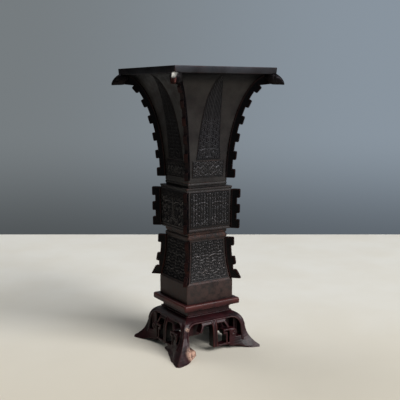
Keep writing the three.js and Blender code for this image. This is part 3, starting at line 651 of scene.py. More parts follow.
@dataclass
class Vase:
    """The bronze: three square castings, the rim and the corner flanges. Sizes in millimetres.

    A moulding is a chain of steps out and up from a half-width and a height.
    """

    seat: float = 49.0
    foot_half: float = 27.2
    foot_band_z: float = 70.0
    foot_panel_half: float = 26.5
    foot_panel_z: float = 70.7
    foot_curve_top: float = 113.5
    foot_bend: float = 0.4
    well_height: float = 7.0
    well_draft: float = 1.2
    collar_half: float = 22.2
    collar_moulding: tuple[Pair, ...] = (
        (0.7, 1.0), (0.7, 3.6), (-0.3, 4.3), (-0.3, 5.3), (0.5, 6.0), (0.5, 8.2), (0.0, 8.9), (0.0, 9.6))
    knop_z: float = 122.7
    knop_low_half: float = 26.0
    knop_half: float = 26.6
    knop_hole: float = 21.4
    knop_floor: float = 3.5
    knop_moulding: tuple[Pair, ...] = ((0.0, 0.0), (0.0, 1.7), (-0.45, 2.1), (-0.45, 2.9), (0.0, 3.3))
    neck_z: float = 166.0
    neck_moulding: tuple[Pair, ...] = (
        (-1.0, -0.4), (0.0, 0.1), (0.0, 1.5), (0.5, 2.0), (0.5, 3.6), (0.0, 4.2))
    neck_curve_z: float = 171.0
    throat_half: float = 22.6
    bore_half: float = 19.7
    bore_step: float = 0.7
    spigot_drop: float = 4.0
    lip_half: float = 54.5
    lip_edge: float = 53.4
    rim_z: float = 276.4
    rim_half: float = 57.3
    rim_taper: float = 0.5
    rim_drop: float = 0.8
    rim_width: float = 6.0
    rim_slope: float = 1.0
    rim_gap: float = 0.3
    top_z: float = 282.0
    wall: float = 2.8
    edge_round: float = 0.55
    foot_round: float = 0.35
    fine_round: float = 0.3
    rim_round: float = 0.6
    collar_rub: float = 1.0
    panel_margin: float = 3.2
    panel_end: float = 1.2
    knop_panel_end: float = 4.0
    band_margin: float = 4.6
    band_foot: float = 4.6
    band_height: float = 16.5
    blade_half: float = 14.0
    blade_foot: float = 22.0
    blade_tip: float = 1.0
    blade_tip_half: float = 0.15
    blade_bends: Pair = (0.35, 0.84)
    blade_fullness: float = 0.79
    relief_step: float = 0.32
    least_lines: int = 8
    field_root: float = -0.4
    field_rise: float = 0.25
    ridge_rise: float = 0.4
    mask_rise: float = 0.62
    border: Pair = (0.9, 1.2)
    border_top: Pair = (0.75, 0.55)
    border_share: float = 0.4
    foot_pitch: float = 3.6
    knop_pitch: float = 4.2
    leaf_pitch: float = 3.5
    plume_pitch: float = 1.75
    plume_slope: Pair = (-0.2, 0.5)
    plume_foot: Pair = (0.42, 0.5)
    band_pitch: float = 2.9
    mask_fit: float = 0.96
    mask_drop: float = 1.5
    dragon_share: float = 1.1
    spine_half: Pair = (0.75, 0.45)
    spine_foot: float = 13.0
    spine_share: float = 0.7
    row_pitch: float = 3.1
    row_depth: float = 0.66
    row_slope: Pair = (0.35, -0.55)
    row_end: Pair = (0.8, 1.2)
    row_sway: float = 0.6
    row_swell: float = 11.0
    flange_thickness: float = 3.6
    flange_gap: float = 0.3
    flange_root: float = 0.6
    flange_rim: float = 0.95
    flange_sunk: float = 1.2
    flange_field: float = 0.45
    flange_soft: float = 0.16
    web_reach: float = 5.2
    tooth_reach: float = 8.4
    tooth_length: float = 9.0
    tooth_round: float = 1.2
    tooth_sharp: float = 0.75
    tooth_steps: tuple[float, ...] = (0.0, 0.33, 0.67, 1.0)
    plate_rub: tuple[float, ...] = (0.0, 0.5, 1.0, 1.0)
    web_rub: float = 0.08
    foot_teeth: int = 2
    knop_teeth: int = 3
    neck_teeth: int = 6
    beak_reach: float = 7.0
    beak_drop: float = 10.2
    beak_length: float = 15.0
    jaw: Pair = (5.0, 0.5)
    head_gap: float = 0.35
    plain_run: float = 12.5
    setback: float = 3.0
    hook_reach: float = 10.0
    hook_height: float = 9.0
    hook_gap: float = 4.8
    hook_root: float = 1.5
    hook_nose: Pair = (0.6, 1.2)
    foot_root: float = 4.0
    # Rub of each head's crown and beak; the front left head's whitish crown is partly wear and partly a
    # painted highlight.
    head_rub_and_highlight: tuple[float, float, float, float] = (0.1, 0.05, 0.05, 1.0)
    curve_points: int = 121
    wall_points: int = 40
    blade_points: int = 80
    root_points: tuple[int, int] = (8, 24)
    foot: Curve = field(init=False)
    knop: Curve = field(init=False)
    neck: Curve = field(init=False)

    def __post_init__(self) -> None:
        """Draw the three outside curves."""
        t = np.linspace(0.0, 1.0, self.curve_points)
        bend = self.foot_panel_z + self.foot_bend * (self.foot_curve_top - self.foot_panel_z)
        self.foot = Curve(bezier(t, (self.foot_panel_half, self.foot_panel_z), (self.collar_half, bend),
                                 (self.collar_half, self.foot_curve_top)))
        self.knop = Curve([(self.knop_low_half, self.knop_z), (self.knop_half, self.neck_z)])
        angle = math.pi - QUARTER * t
        across = self.lip_half + (self.lip_half - self.throat_half) * np.cos(angle)
        up = self.neck_curve_z + (self.rim_z - self.neck_curve_z) * np.sin(angle)
        self.neck = Curve(np.stack([across, up], -1))

    def walls(self, curve: Curve, end: float) -> tuple[Array, Array]:
        """Outside points up a curve and inside points back down it."""
        run = np.linspace(0.0, end, self.wall_points)
        return curve.at(run), curve.offset(run, -self.wall)[::-1]

    def foot_profile(self) -> Profile:
        """Foot from its standing edge over the collar and down the inside.

        Returns:
            Half-widths and heights up the outside and down the inside.
        """
        outer, inner = self.walls(self.foot, self.foot.length)
        collar = moulded(self.collar_half, self.foot_curve_top, self.collar_moulding)
        well = inner[-1][0]
        return [
            (self.foot_half, self.seat), (self.foot_half, self.foot_band_z), *outer, *collar,
            (self.bore_half, collar[-1][1]), *inner,
            (well, self.seat + self.well_height), (well + self.well_draft, self.seat),
        ]

    def knop_profile(self) -> Profile:
        """Knop with a fine moulded edge above and below.

        Returns:
            Half-widths and heights up the outside and down the inside.
        """
        under = moulded(self.knop_low_half, self.knop_z, self.knop_moulding)
        over = [(self.knop_half + out, self.neck_z - down) for out, down in reversed(self.knop_moulding)]
        hole, inner = self.knop_hole, self.knop_low_half - self.wall
        floor, roof = self.knop_z + self.knop_floor, self.neck_z - self.knop_floor
        return [
            *under, *over, (hole, self.neck_z), (hole, roof), (inner, roof), (inner, floor), (hole, floor),
            (hole, self.knop_z),
        ]

    def neck_profile(self) -> Profile:
        """Neck from the upper collar to the lip and back down the inside.

        Returns:
            Half-widths and heights up the outside and down the inside.
        """
        outer, inner = self.walls(self.neck, float(self.neck.distance_at(0, self.lip_edge)))
        collar = moulded(self.collar_half, self.neck_z, self.neck_moulding)
        spigot = self.neck_z - self.spigot_drop
        return [
            *collar, *outer, (self.lip_edge, self.rim_z + self.wall), *inner,
            (self.bore_half, self.neck_curve_z - self.bore_step), (self.bore_half, spigot),
            (collar[0][0], spigot),
        ]

    def rim_profile(self) -> Profile:
        """Mouth rim, let over the lip.

        Returns:
            Half-widths and heights up the outside and down the inside.
        """
        inner, under = self.rim_half - self.rim_width, self.rim_z - self.rim_drop
        lip, ledge = self.lip_edge + self.rim_gap, self.rim_z + self.wall
        return [
            (self.rim_half - self.rim_taper, under), (self.rim_half, self.top_z), (inner, self.top_z),
            (inner - self.rim_slope, ledge), (lip, ledge), (lip, under),
        ]

    def lines_in(self, length: float) -> int:
        """Number of lines of points that a carved length needs."""
        return max(self.least_lines, int(length / self.relief_step))

    def rows(self, low: float, high: float) -> Array:
        """Distances up a curve of the rows of a carved field."""
        return np.linspace(low, high, self.lines_in(high - low))

    def add_field(
        self, draft: Draft, curve: Curve, up: Array, half: Array, carve: Callable[..., Array]
    ) -> None:
        """Add one carved field to each of the four faces.

        Args:
            draft: Casting that carries it.
            curve: Outside curve that it lies on.
            up: Distances of its rows along the curve.
            half: Half-width of each row.
            carve: Height above the wall, from distances across, up and to the edge and the least half-width.
        """
        columns = self.lines_in(2 * float(half.max()))
        u = np.linspace(-1.0, 1.0, columns)[None, :] * half[:, None]
        v = np.repeat(up[:, None], columns, 1)
        edge = np.minimum(half[:, None] - np.abs(u), np.minimum(v - up[0], up[-1] - v))
        rise = carve(u, v - up[0], edge, float(half.min()))
        relief = np.clip((rise - self.field_rise) / self.mask_rise, 0.0, 1.0)
        u, v, relief = (np.pad(a, 1, mode="edge") for a in (u, v, relief))
        place = curve.offset(v, np.pad(rise, 1, constant_values=self.field_root))
        points = np.stack([u, -place[..., 0], place[..., 1]], -1)
        for turn in range(4):
            draft.grid(turned(points, turn), field=1.0, relief=relief)

    def ground(self, u: Array, v: Array, edge: Array, pitch: float) -> Array:
        """Thunder-pattern ground inside a plain raised border.

        Args:
            u: Distance across.
            v: Distance up.
            edge: Distance to the field's edge.
            pitch: Size of one spiral.

        Returns:
            Height above the wall.
        """
        inside = spirals(u, v, pitch) * ramp(*self.border, edge)
        border = self.border_share * ramp(*self.border_top, edge)
        return self.field_rise + self.ridge_rise * np.maximum(inside, border)

    def raised(self, rise: Array, figure: Array, edge: Array) -> Array:
        """Ground with a figure raised on it inside the border."""
        return np.maximum(rise, self.field_rise + self.mask_rise * figure * (edge > self.border[0]))

    def carve_mask(self, u: Array, v: Array, edge: Array, size: float, pitch: float, upright: bool) -> Array:
        """Mask panel: the mask raised on a spiral ground, both cut into columns or swaying rows.

        Args:
            u: Distance across.
            v: Distance up.
            edge: Distance to the field's edge.
            size: Half the panel's width.
            pitch: Size of one spiral.
            upright: Cuts columns and not rows.

        Returns:
            Height above the wall.
        """
        unit_size = MASK_HALF / (size * self.mask_fit)
        face = MASK.height(u * unit_size, (v - v.max() / 2 + self.mask_drop) * unit_size)
        rise = self.raised(self.ground(u, v, edge, pitch), face, edge)
        across = u if upright else v + self.row_sway * np.sin(2 * math.pi * u / self.row_swell)
        cut = ramp(*self.row_slope, np.cos(2 * math.pi * across / self.row_pitch)) * ramp(*self.row_end, edge)
        return rise - self.row_depth * cut * (rise - self.field_rise)

    def carve_leaf(self, u: Array, v: Array, edge: Array, _: float) -> Array:
        """Leaf blade: spirals and a small mask at its foot, plumes above, and a spine.

        Args:
            u: Distance across.
            v: Distance up.
            edge: Distance to the field's edge.

        Returns:
            Height above the wall.
        """
        rise = self.ground(u, v, edge, self.leaf_pitch)
        wave = np.cos(2 * math.pi * u / self.plume_pitch)
        plume = self.field_rise + self.ridge_rise * ramp(*self.plume_slope, wave)
        upper = ramp(*self.plume_foot, v / v.max()) * ramp(*self.border, edge)
        spine = self.spine_share * ramp(*self.spine_half, np.abs(u)) * (v > self.spine_foot)
        return self.raised(rise + (plume - rise) * upper, np.maximum(LEAF_FACE.height(u, v), spine), edge)

    def carve_band(self, u: Array, v: Array, edge: Array, _: float) -> Array:
        """Dragon band on a fine spiral ground."""
        beasts = self.dragon_share * DRAGONS.height(u, v - v.max() / 2)
        return self.raised(self.ground(u, v, edge, self.band_pitch), beasts, edge)

    def blade_edge(self) -> tuple[Array, Array]:
        """Edge of the leaf blade.

        Returns:
            Distances up the neck and half-widths.
        """
        foot, tip = self.neck_curve_z + self.blade_foot, self.rim_z - self.blade_tip
        low, high = (foot + (tip - foot) * share for share in self.blade_bends)
        full = self.blade_half * self.blade_fullness
        t = np.linspace(0.0, 1.0, self.blade_points)
        edge = bezier(t, (foot, self.blade_half), (low, full), (high, full), (tip, self.blade_tip_half))
        height, across = edge.T
        return self.neck.distance_at(1, height), across

    def build_castings(
        self, bronze: bpy.types.Material, leaf: bpy.types.Material, lip: bpy.types.Material
    ) -> None:
        """Make the foot, knop, neck and rim with their carved fields.

        Args:
            bronze: Finish of the castings.
            leaf: Finish of the leaf blades.
            lip: Finish of the mouth rim.
        """
        foot, knop, neck, leaves, rim = (Draft() for _ in range(5))
        profile = soften(self.foot_profile(), self.foot_round)
        worn = ramp(self.foot_curve_top, self.foot_curve_top + self.collar_rub, profile[:, 1])
        square_turning(foot, profile, self.edge_round, worn)
        square_turning(knop, soften(self.knop_profile(), self.fine_round), self.edge_round)
        square_turning(neck, soften(self.neck_profile(), self.fine_round), self.edge_round)
        square_turning(rim, soften(self.rim_profile(), self.rim_round), self.edge_round)

        up = self.rows(self.panel_end, self.foot.length - self.panel_end)
        half = self.foot.at(up)[:, 0] - self.panel_margin
        carve = partial(self.carve_mask, pitch=self.foot_pitch, upright=False)
        self.add_field(foot, self.foot, up, half, carve)
        up = self.rows(self.knop_panel_end, self.knop.length - self.knop_panel_end)
        half = np.full(up.shape, self.knop_low_half - self.panel_margin)
        carve = partial(self.carve_mask, pitch=self.knop_pitch, upright=True)
        self.add_field(knop, self.knop, up, half, carve)
        up = self.rows(self.band_foot, self.band_foot + self.band_height)
        half = np.full(up.shape, self.throat_half - self.band_margin)
        self.add_field(neck, self.neck, up, half, self.carve_band)
        along, across = self.blade_edge()
        up = self.rows(float(along[0]), float(along[-1]))
        self.add_field(leaves, self.neck, up, np.interp(up, along, across), self.carve_leaf)

        for name, draft in (("foot", foot), ("knop", knop), ("neck", neck)):
            finish_piece(draft.to_object(f"{name}_bronze"), Body.VASE, bronze, [f"{name}_casting"])
        finish_piece(leaves.to_object("leaf_blades_bronze"), Body.VASE, leaf)
        finish_piece(rim.to_object("rim_bronze"), Body.VASE, lip, ["mouth_rim"])

    def teeth(self, curve: Curve, first: float, last: float, count: int) -> list[Array]:
        """Toothed outline along a corner line, stepping square out from the web.

        Args:
            curve: The corner line.
            first: Distance along it at which the first tooth starts.
            last: Distance at which the last tooth ends.
            count: Number of teeth.

        Returns:
            Points up the outline.
        """
        pitch = (last - first - self.tooth_length) / (count - 1)
        made = []
        for i in range(count):
            low = first + i * pitch
            high = low + self.tooth_length
            steps = [(low, self.web_reach if i else 0.0), (low, self.tooth_reach), (high, self.tooth_reach),
                     (high, self.web_reach), ((high + low + pitch) / 2, self.web_reach)]
            made += [curve.offset(*step) for step in steps]
        return made[:-1]

    def flange_outlines(self) -> dict[str, Profile]:
        """Outlines of the three kinds of flange.

        Returns:
            Points in the diagonal plane, anticlockwise, by the kind of flange.
        """
        faces = (self.foot, self.knop, self.neck)
        foot, knop, neck = (Curve(curve.points * (ROOT2, 1.0)) for curve in faces)
        start = self.hook_height + self.hook_gap
        edge = self.teeth(foot, start, foot.length, self.foot_teeth)
        edge[0] = foot.offset(start, self.web_reach)
        corner, low = self.foot_panel_half * ROOT2, self.foot_panel_z + self.flange_gap
        nose_back, nose_up = self.hook_nose
        steps = ((-self.hook_root, 0.0), (self.hook_reach, 0.0), (self.hook_reach - nose_back, nose_up),
                 (self.web_reach, self.hook_height))
        run = np.linspace(foot.length, self.foot_root, self.root_points[0])
        inside = foot.offset(run, -self.flange_root)
        hook = moulded(corner, low, steps)
        outlines = {"foot": [*hook, (edge[0][0], low + self.hook_height), *edge, *inside]}

        edge = self.teeth(knop, self.flange_gap, knop.length - self.setback, self.knop_teeth)
        outlines["knop"] = [*edge, (self.knop_half * ROOT2 - self.flange_root, edge[-1][1]),
                            (self.knop_low_half * ROOT2 - self.flange_root, edge[0][1])]

        throat = self.beak_tip() - self.beak_length
        low, roof = self.rim_z - self.beak_drop, self.rim_z - self.flange_gap
        jaw, jaw_up = throat + self.jaw[0], low + self.jaw[1]
        last = float(neck.distance_at(0, throat - self.plain_run))
        edge = self.teeth(neck, self.setback, last, self.neck_teeth)
        end = float(neck.distance_at(1, roof - self.flange_root))
        inside = neck.offset(np.linspace(end, self.setback, self.root_points[1]), -self.flange_root)
        outlines["neck"] = [*edge, (throat, low), (jaw, jaw_up), (jaw, roof), *inside]
        return outlines

    def beak_tip(self) -> float:
        """Distance of a bird head's tip from the axis along the diagonal."""
        return self.rim_half * ROOT2 + self.beak_reach

    def flange_plate(self, outline: Profile, turn: int) -> Draft:
        """Plate with worn tooth corners and a raised rim round a sunk field on each side.

        Args:
            outline: Outline in the diagonal plane, anticlockwise.
            turn: Corner, counted in quarter turns from the front right.

        Returns:
            The plate, in place.
        """
        loop = np.array(outline)
        before, after = unit(np.roll(loop, 1, 0) - loop), unit(np.roll(loop, -1, 0) - loop)
        sharp = before[:, 0] * after[:, 1] - before[:, 1] * after[:, 0] < -self.tooth_sharp
        outer, source = [], []
        for i, here in enumerate(loop):
            into, out = here + self.tooth_round * before[i], here + self.tooth_round * after[i]
            made = bezier(self.tooth_steps, into, here, out) if sharp[i] else [here]
            outer += [*made]
            source += [i] * len(made)
        outer = np.array(outer)
        half = self.flange_thickness / 2
        rim, sunk = (inset_loop(loop, depth) for depth in (self.flange_rim, self.flange_sunk))
        edge = outer + (rim[source] - outer) * (self.flange_soft / self.flange_rim)
        rows = [(sunk[source], half - self.flange_field), (rim[source], half), (edge, half),
                (outer, half - self.flange_soft)]
        rows += [(points, -aside) for points, aside in reversed(rows)]
        worn = np.where(sharp[source], 1.0, self.web_rub)
        shares = np.array([*self.plate_rub, *reversed(self.plate_rub)])[:, None]
        draft = Draft()
        plate = np.stack([on_diagonal(points, aside, turn) for points, aside in rows])
        draft.grid(plate, wrap=True, rub=shares * worn, field=shares == 0.0)
        draft.polygon(on_diagonal(sunk, self.flange_field - half, turn), field=1.0)
        draft.polygon(on_diagonal(sunk, half - self.flange_field, turn)[::-1], field=1.0)
        return draft

    def build_flanges(self, bronze: bpy.types.Material, handled: bpy.types.Material) -> None:
        """Make the notched flanges astride each corner, with bird heads on the neck's.

        Args:
            bronze: Finish of the plates.
            handled: Finish of the heads, which are rubbed bright, with a painted highlight.
        """
        for kind, outline in self.flange_outlines().items():
            for turn, corner in enumerate(CORNERS):
                piece = self.flange_plate(outline, turn).to_object(f"{kind}_flange_bronze_{corner}")
                piece.modifiers.new("even_shading", "WEIGHTED_NORMAL")
                finish_piece(piece, Body.VASE, bronze, [f"{kind}_flange_{corner}"])
        low, roof = self.rim_z - self.beak_drop, self.rim_z - self.head_gap
        for turn, corner in enumerate(CORNERS):
            head = BirdHead().draw(self.beak_tip(), low, roof, self.head_rub_and_highlight[turn], turn)
            finish_piece(head.to_object(f"bird_head_{corner}"), Body.VASE, handled)


@dataclass
class Stand:
    """The carved hardwood stand. Sizes in millimetres.

    The bends of the cabriole outline are shares of the flare or steps inwards, each with a share of the
    height. The heel's sweep gives distances across, its reach at the floor and its height.
    """

    height: float = 51.0
    seat: float = 49.0
    seat_half: float = 27.7
    top_half: float = 32.6
    top_edge: float = 6.2
    top_round: float = 2.4
    top_cove: float = 6.1
    top_corner: float = 1.2
    lip_rub_half: Pair = (3.5, 0.6)
    lip_rub_z: Pair = (45.0, 49.5)
    rail_inner: float = 14.6
    waist_top: float = 43.0
    waist_half: float = 25.0
    waist_thickness: float = 4.0
    waist_bead: tuple[float, float, float] = (1.8, 0.9, 0.9)
    waist_fine: tuple[float, float, float] = (0.7, -0.8, 0.6)
    waist_round: float = 0.2
    waist_corner: float = 0.5
    leg_height: float = 36.4
    leg_top_half: float = 26.8
    shoulder_half: float = 36.8
    shoulder_share: float = 0.56
    low_bends: tuple[Pair, Pair] = ((0.44, 0.15), (0.11, 0.3))
    high_bends: tuple[Pair, Pair] = ((0.6, 0.8), (3.2, 0.93))
    toe_half: float = 50.2
    skirt_half: float = 38.0
    block_half: float = 17.2
    arch_half: float = 31.0
    arch_width: float = 11.0
    arch_height: float = 11.0
    arch_bead: float = 0.9
    arch_end: float = 1.0
    apron_bottom: float = 31.4
    heel_top: float = 8.0
    post_half: float = 2.4
    post_lift: float = 5.2
    post_bead: Pair = (0.55, 0.4)
    curl_x: float = 22.0
    curl_z: float = 16.8
    curl_radius: float = 3.7
    curl_start: float = -0.5
    curl_sweep: float = 7.4
    flare_share: float = 0.5
    bead: float = 0.95
    bead_sides: int = 8
    arch_points: tuple[int, int, int] = (6, 10, 8)
    arch_bend_from: float = 0.1
    post_points: int = 12
    round_points: int = 9
    outline_points: int = 25
    grow: float = 0.18
    voxel: float = 0.42
    wear: float = 0.5
    wear_rounds: int = 5
    most_faces: int = 95_000
    toe_spread: float = 7.0
    toe_broader: float = 0.3
    toe_zone_z: Pair = (26.0, 3.0)
    toe_zone_reach: Pair = (36.0, 58.0)
    block_places: tuple[Pair, ...] = ((-30.4, 26.5), (30.4, -26.5))
    glue_half: float = 4.4
    glue_foot: float = 14.0
    glue_head: float = 31.0
    glue_round: float = 1.0
    heel_depth: float = 5.0
    heel_hollow: float = 0.4
    heel_rings: int = 17
    heel_sweep: tuple[tuple[float, float, float], ...] = (
        (0.0, 38.1, 0.6), (6.0, 39.4, 4.8), (16.2, 41.8, 9.0), (25.3, 42.6, 12.0), (35.0, 44.8, 12.0))

    def edge_profile(self) -> Array:
        """Top frame: coved edge, rounded lip, shallow seat and inner side.

        Returns:
            Half-widths and heights up the outside and down the inside.
        """
        cove, under = self.top_half - self.top_cove, self.height - self.top_edge
        curve = bezier(np.linspace(0.0, 1.0, self.round_points), (cove, self.waist_top), (cove, under),
                       (self.top_half - self.top_round, under))
        return soften([
            *curve, (self.top_half, under), (self.top_half, self.height), (self.seat_half, self.height),
            (self.seat_half, self.seat), (self.rail_inner, self.seat), (self.rail_inner, self.waist_top),
        ], self.top_round)

    def waist_profile(self) -> Array:
        """Waist with a bead along its foot and a fine one under the top.

        Returns:
            Half-widths and heights up the outside and down the inside.
        """
        beads = []
        places = ((self.leg_height, self.waist_bead), (self.waist_top, self.waist_fine))
        for base, (out, lift, tall) in places:
            for a in np.linspace(-QUARTER, QUARTER, self.round_points):
                beads.append((self.waist_half + out * math.cos(a), base + lift + tall * math.sin(a)))
        inner = self.waist_half - self.waist_thickness
        return soften([*beads, (self.waist_half, self.waist_top), (inner, self.waist_top),
                       (inner, self.leg_height)], self.waist_round)

    def outline(self, lower: float) -> Array:
        """The cabriole outline, from the floor up.

        Args:
            lower: Its reach at the floor.

        Returns:
            Reaches from the axis and heights.
        """
        t = np.linspace(0.0, 1.0, self.outline_points)
        top, knee = self.leg_height, self.shoulder_half
        shoulder = (knee, self.shoulder_share * top)
        low_bends = [(knee + share * (lower - knee), up * top) for share, up in self.low_bends]
        high_bends = [(knee - back, up * top) for back, up in self.high_bends]
        low = bezier(t, (lower, 0.0), *low_bends, shoulder)
        high = bezier(t, shoulder, *high_bends, (self.leg_top_half, top))
        return np.concatenate([low, high[1:]])

    def face(self, x: float, z: float) -> float:
        """Depth of the carved surface in front of the axis.

        Args:
            x: Distance across the front elevation.
            z: Height.

        Returns:
            Depth at that place.
        """
        corner, middle = (
            np.interp(z, *self.outline(half).T[::-1]) for half in (self.toe_half, self.skirt_half)
        )
        bend = (self.block_half + corner) / 2
        bent = middle + (corner - middle) * self.flare_share
        return float(np.interp(abs(x), [self.block_half, bend, corner], [middle, bent, corner]))

    def bead_lines(self) -> list[list[Pair]]:
        """Raised lines on one side: round the arch and down the post.

        Returns:
            Chains of distances across and heights.
        """
        reach, top = self.arch_half + self.arch_bead, self.apron_bottom + self.arch_bead
        start, low = self.arch_half - self.arch_width, top - self.arch_height
        level, bent, upright = self.arch_points
        arch = [(x, top) for x in np.linspace(0.0, start, level)]
        shares = np.linspace(self.arch_bend_from, 1.0, bent)
        arch += [*bezier(shares, (start, top), (reach, top), (reach, low))]
        down = np.linspace(low - self.arch_end, self.heel_top + self.arch_end, upright)
        arch += [(reach, z) for z in down]
        inset, lift = self.post_bead
        along = np.linspace(self.post_lift + lift, top, self.post_points)
        post = [(self.post_half - inset, z) for z in along]
        return [[(side * x, z) for x, z in line] for side in (-1, 1) for line in (arch, post)]

    def curl_line(self, side: int) -> list[Pair]:
        """Spiral on the round end of a fret."""
        turn = scroll((self.curl_x, self.curl_z), self.curl_radius, self.curl_start, self.curl_sweep)
        return [(side * x, z) for x, z in turn]

    def tube(self, draft: Draft, line: list[Pair], turn: int) -> None:
        """Add a bead along a line on one side's carved surface.

        Args:
            draft: Piece to add to.
            line: Distances across and heights.
            turn: Side, counted in quarter turns from the front.
        """
        front = np.array([0.0, -1.0, 0.0])
        path = np.array([(x, -self.face(x, z), z) for x, z in line])
        run = unit(np.gradient(path, axis=0))
        out = unit(front - run * (run @ front)[:, None])
        side = np.cross(run, out)
        angle = np.linspace(0.0, 2 * math.pi, self.bead_sides, endpoint=False)[None, :, None]
        rings = path[:, None] + self.bead * (np.cos(angle) * out[:, None] + np.sin(angle) * side[:, None])
        draft.bar(turned(rings, turn))

    def broad_heel(self, draft: Draft) -> None:
        """Add the heel that sweeps along the floor from the left side's post to the front left toe.

        Args:
            draft: Piece to add to.
        """
        across, floor, head = np.array(self.heel_sweep).T
        rings = []
        for x in np.linspace(across[0], across[-1], self.heel_rings):
            reach, top = np.interp(x, across, floor), np.interp(x, across, head)
            inner, upper = self.face(x, 0.0) - self.heel_depth, self.face(x, top)
            waist = upper + self.heel_hollow * (reach - upper)
            ring = ((inner, top), (upper, top), (waist, self.heel_hollow * top), (reach, 0.0), (inner, 0.0))
            rings.append([(x, -depth, z) for depth, z in ring])
        draft.bar(turned(np.array(rings), SIDES.index("left")))

    def glue_blocks(self, draft: Draft) -> None:
        """Add the blocks inside two corners, where no light comes through the frets.

        Args:
            draft: Piece to add to.
        """
        square = square_ring(self.glue_half, self.glue_round)
        levels = (self.glue_foot, self.glue_head)
        for place in self.block_places:
            draft.bar(np.stack([np.insert(square + place, 2, z, axis=1) for z in levels]))

    def spread_toe(self, points: Array) -> Array:
        """Draw out and broaden the front left toe, which was left fuller than the others.

        Args:
            points: Points of the wood.

        Returns:
            The points, moved near that toe only.
        """
        x, y, z = points.T
        reach, across = -(x + y) / ROOT2, (x - y) / ROOT2
        share = ramp(*self.toe_zone_z, z) * ramp(*self.toe_zone_reach, reach)
        reach = reach + self.toe_spread * share
        across = across * (1.0 + self.toe_broader * share)
        return np.stack([(across - reach) / ROOT2, -(reach + across) / ROOT2, z], -1)

    def carved_nodes(self) -> list[str]:
        """CAD nodes of the legs, aprons and frets."""
        return sorted(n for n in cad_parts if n.split("_")[0] in ("leg", "apron", "fret"))

    def added_wood(self) -> Draft:
        """Beads, broad heel and glue blocks, which the CAD nodes don't have.

        Returns:
            The added wood.
        """
        draft = Draft()
        for turn, side in enumerate(SIDES):
            for line in self.bead_lines():
                self.tube(draft, line, turn)
            for hand, other in ((1, SIDES[(turn + 1) % 4]), (-1, SIDES[(turn + 3) % 4])):
                if f"fret_{side}_{other}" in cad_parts:
                    self.tube(draft, self.curl_line(hand), turn)
        self.broad_heel(draft)
        self.glue_blocks(draft)
        return draft

    def join_nodes(self, mesh: bpy.types.Mesh) -> None:
        """Put copies of the carved CAD nodes, grown a little so that they meet, before a mesh's own faces.

        Args:
            mesh: Mesh that takes them in.
        """
        joined = bmesh.new()
        for name in self.carved_nodes():
            part = bmesh.new()
            part.from_mesh(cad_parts[name].data)
            bmesh.ops.remove_doubles(part, verts=part.verts, dist=WELD)
            bmesh.ops.recalc_face_normals(part, faces=part.faces)
            part.normal_update()
            for vert in part.verts:
                vert.co += vert.normal * self.grow * MM
            grown = bpy.data.meshes.new("part")
            part.to_mesh(grown)
            part.free()
            joined.from_mesh(grown)
            bpy.data.meshes.remove(grown)
        joined.from_mesh(mesh)
        joined.to_mesh(mesh)
        joined.free()

    @staticmethod
    def modified(piece: bpy.types.Object) -> bpy.types.Object:
        """The piece as its modifiers make it."""
        return piece.evaluated_get(bpy.context.evaluated_depsgraph_get())

    def carved_piece(self) -> bpy.types.Object:
        """Legs, aprons and frets with the added wood, worn to one soft carved surface.

        Returns:
            The piece, in place.
        """
        rough = self.added_wood().to_object("carved_rough")
        self.join_nodes(rough.data)
        remesh = rough.modifiers.new("carved", "REMESH")
        remesh.mode, remesh.voxel_size = "VOXEL", self.voxel * MM
        worn = rough.modifiers.new("worn", "SMOOTH")
        worn.factor, worn.iterations = self.wear, self.wear_rounds
        dense = len(self.modified(rough).data.polygons)
        fewer = rough.modifiers.new("fewer_faces", "DECIMATE")
        fewer.ratio = min(1.0, self.most_faces / dense)
        mesh = bpy.data.meshes.new_from_object(self.modified(rough))
        bpy.data.objects.remove(rough)
        mesh.name = "carved_wood"
        points = np.empty(3 * len(mesh.vertices))
        mesh.vertices.foreach_get("co", points)
        points = self.spread_toe(points.reshape(-1, 3) / MM)
        points[:, 2] = np.maximum(points[:, 2], 0.0)
        mesh.vertices.foreach_set("co", (points * MM).reshape(-1))
        return add_object("carved_wood", mesh)

    def build(self, wood: bpy.types.Material) -> None:
        """Make the top frame, the waist and the carved legs.

        Args:
            wood: Finish of all three.
        """
        top, waist = Draft(), Draft()
        edge = self.edge_profile()
        far, near = (self.top_half - inset for inset in self.lip_rub_half)
        lip = ramp(far, near, edge[:, 0]) * ramp(*self.lip_rub_z, edge[:, 1])
        square_turning(top, edge, self.top_corner, lip)
        square_turning(waist, self.waist_profile(), self.waist_corner)
        finish_piece(top.to_object("top_frame_wood"), Body.STAND, wood, [f"top_rail_{s}" for s in SIDES])
        finish_piece(waist.to_object("waist_wood"), Body.STAND, wood, [f"waist_strip_{s}" for s in SIDES])
        finish_piece(self.carved_piece(), Body.STAND, wood, self.carved_nodes())


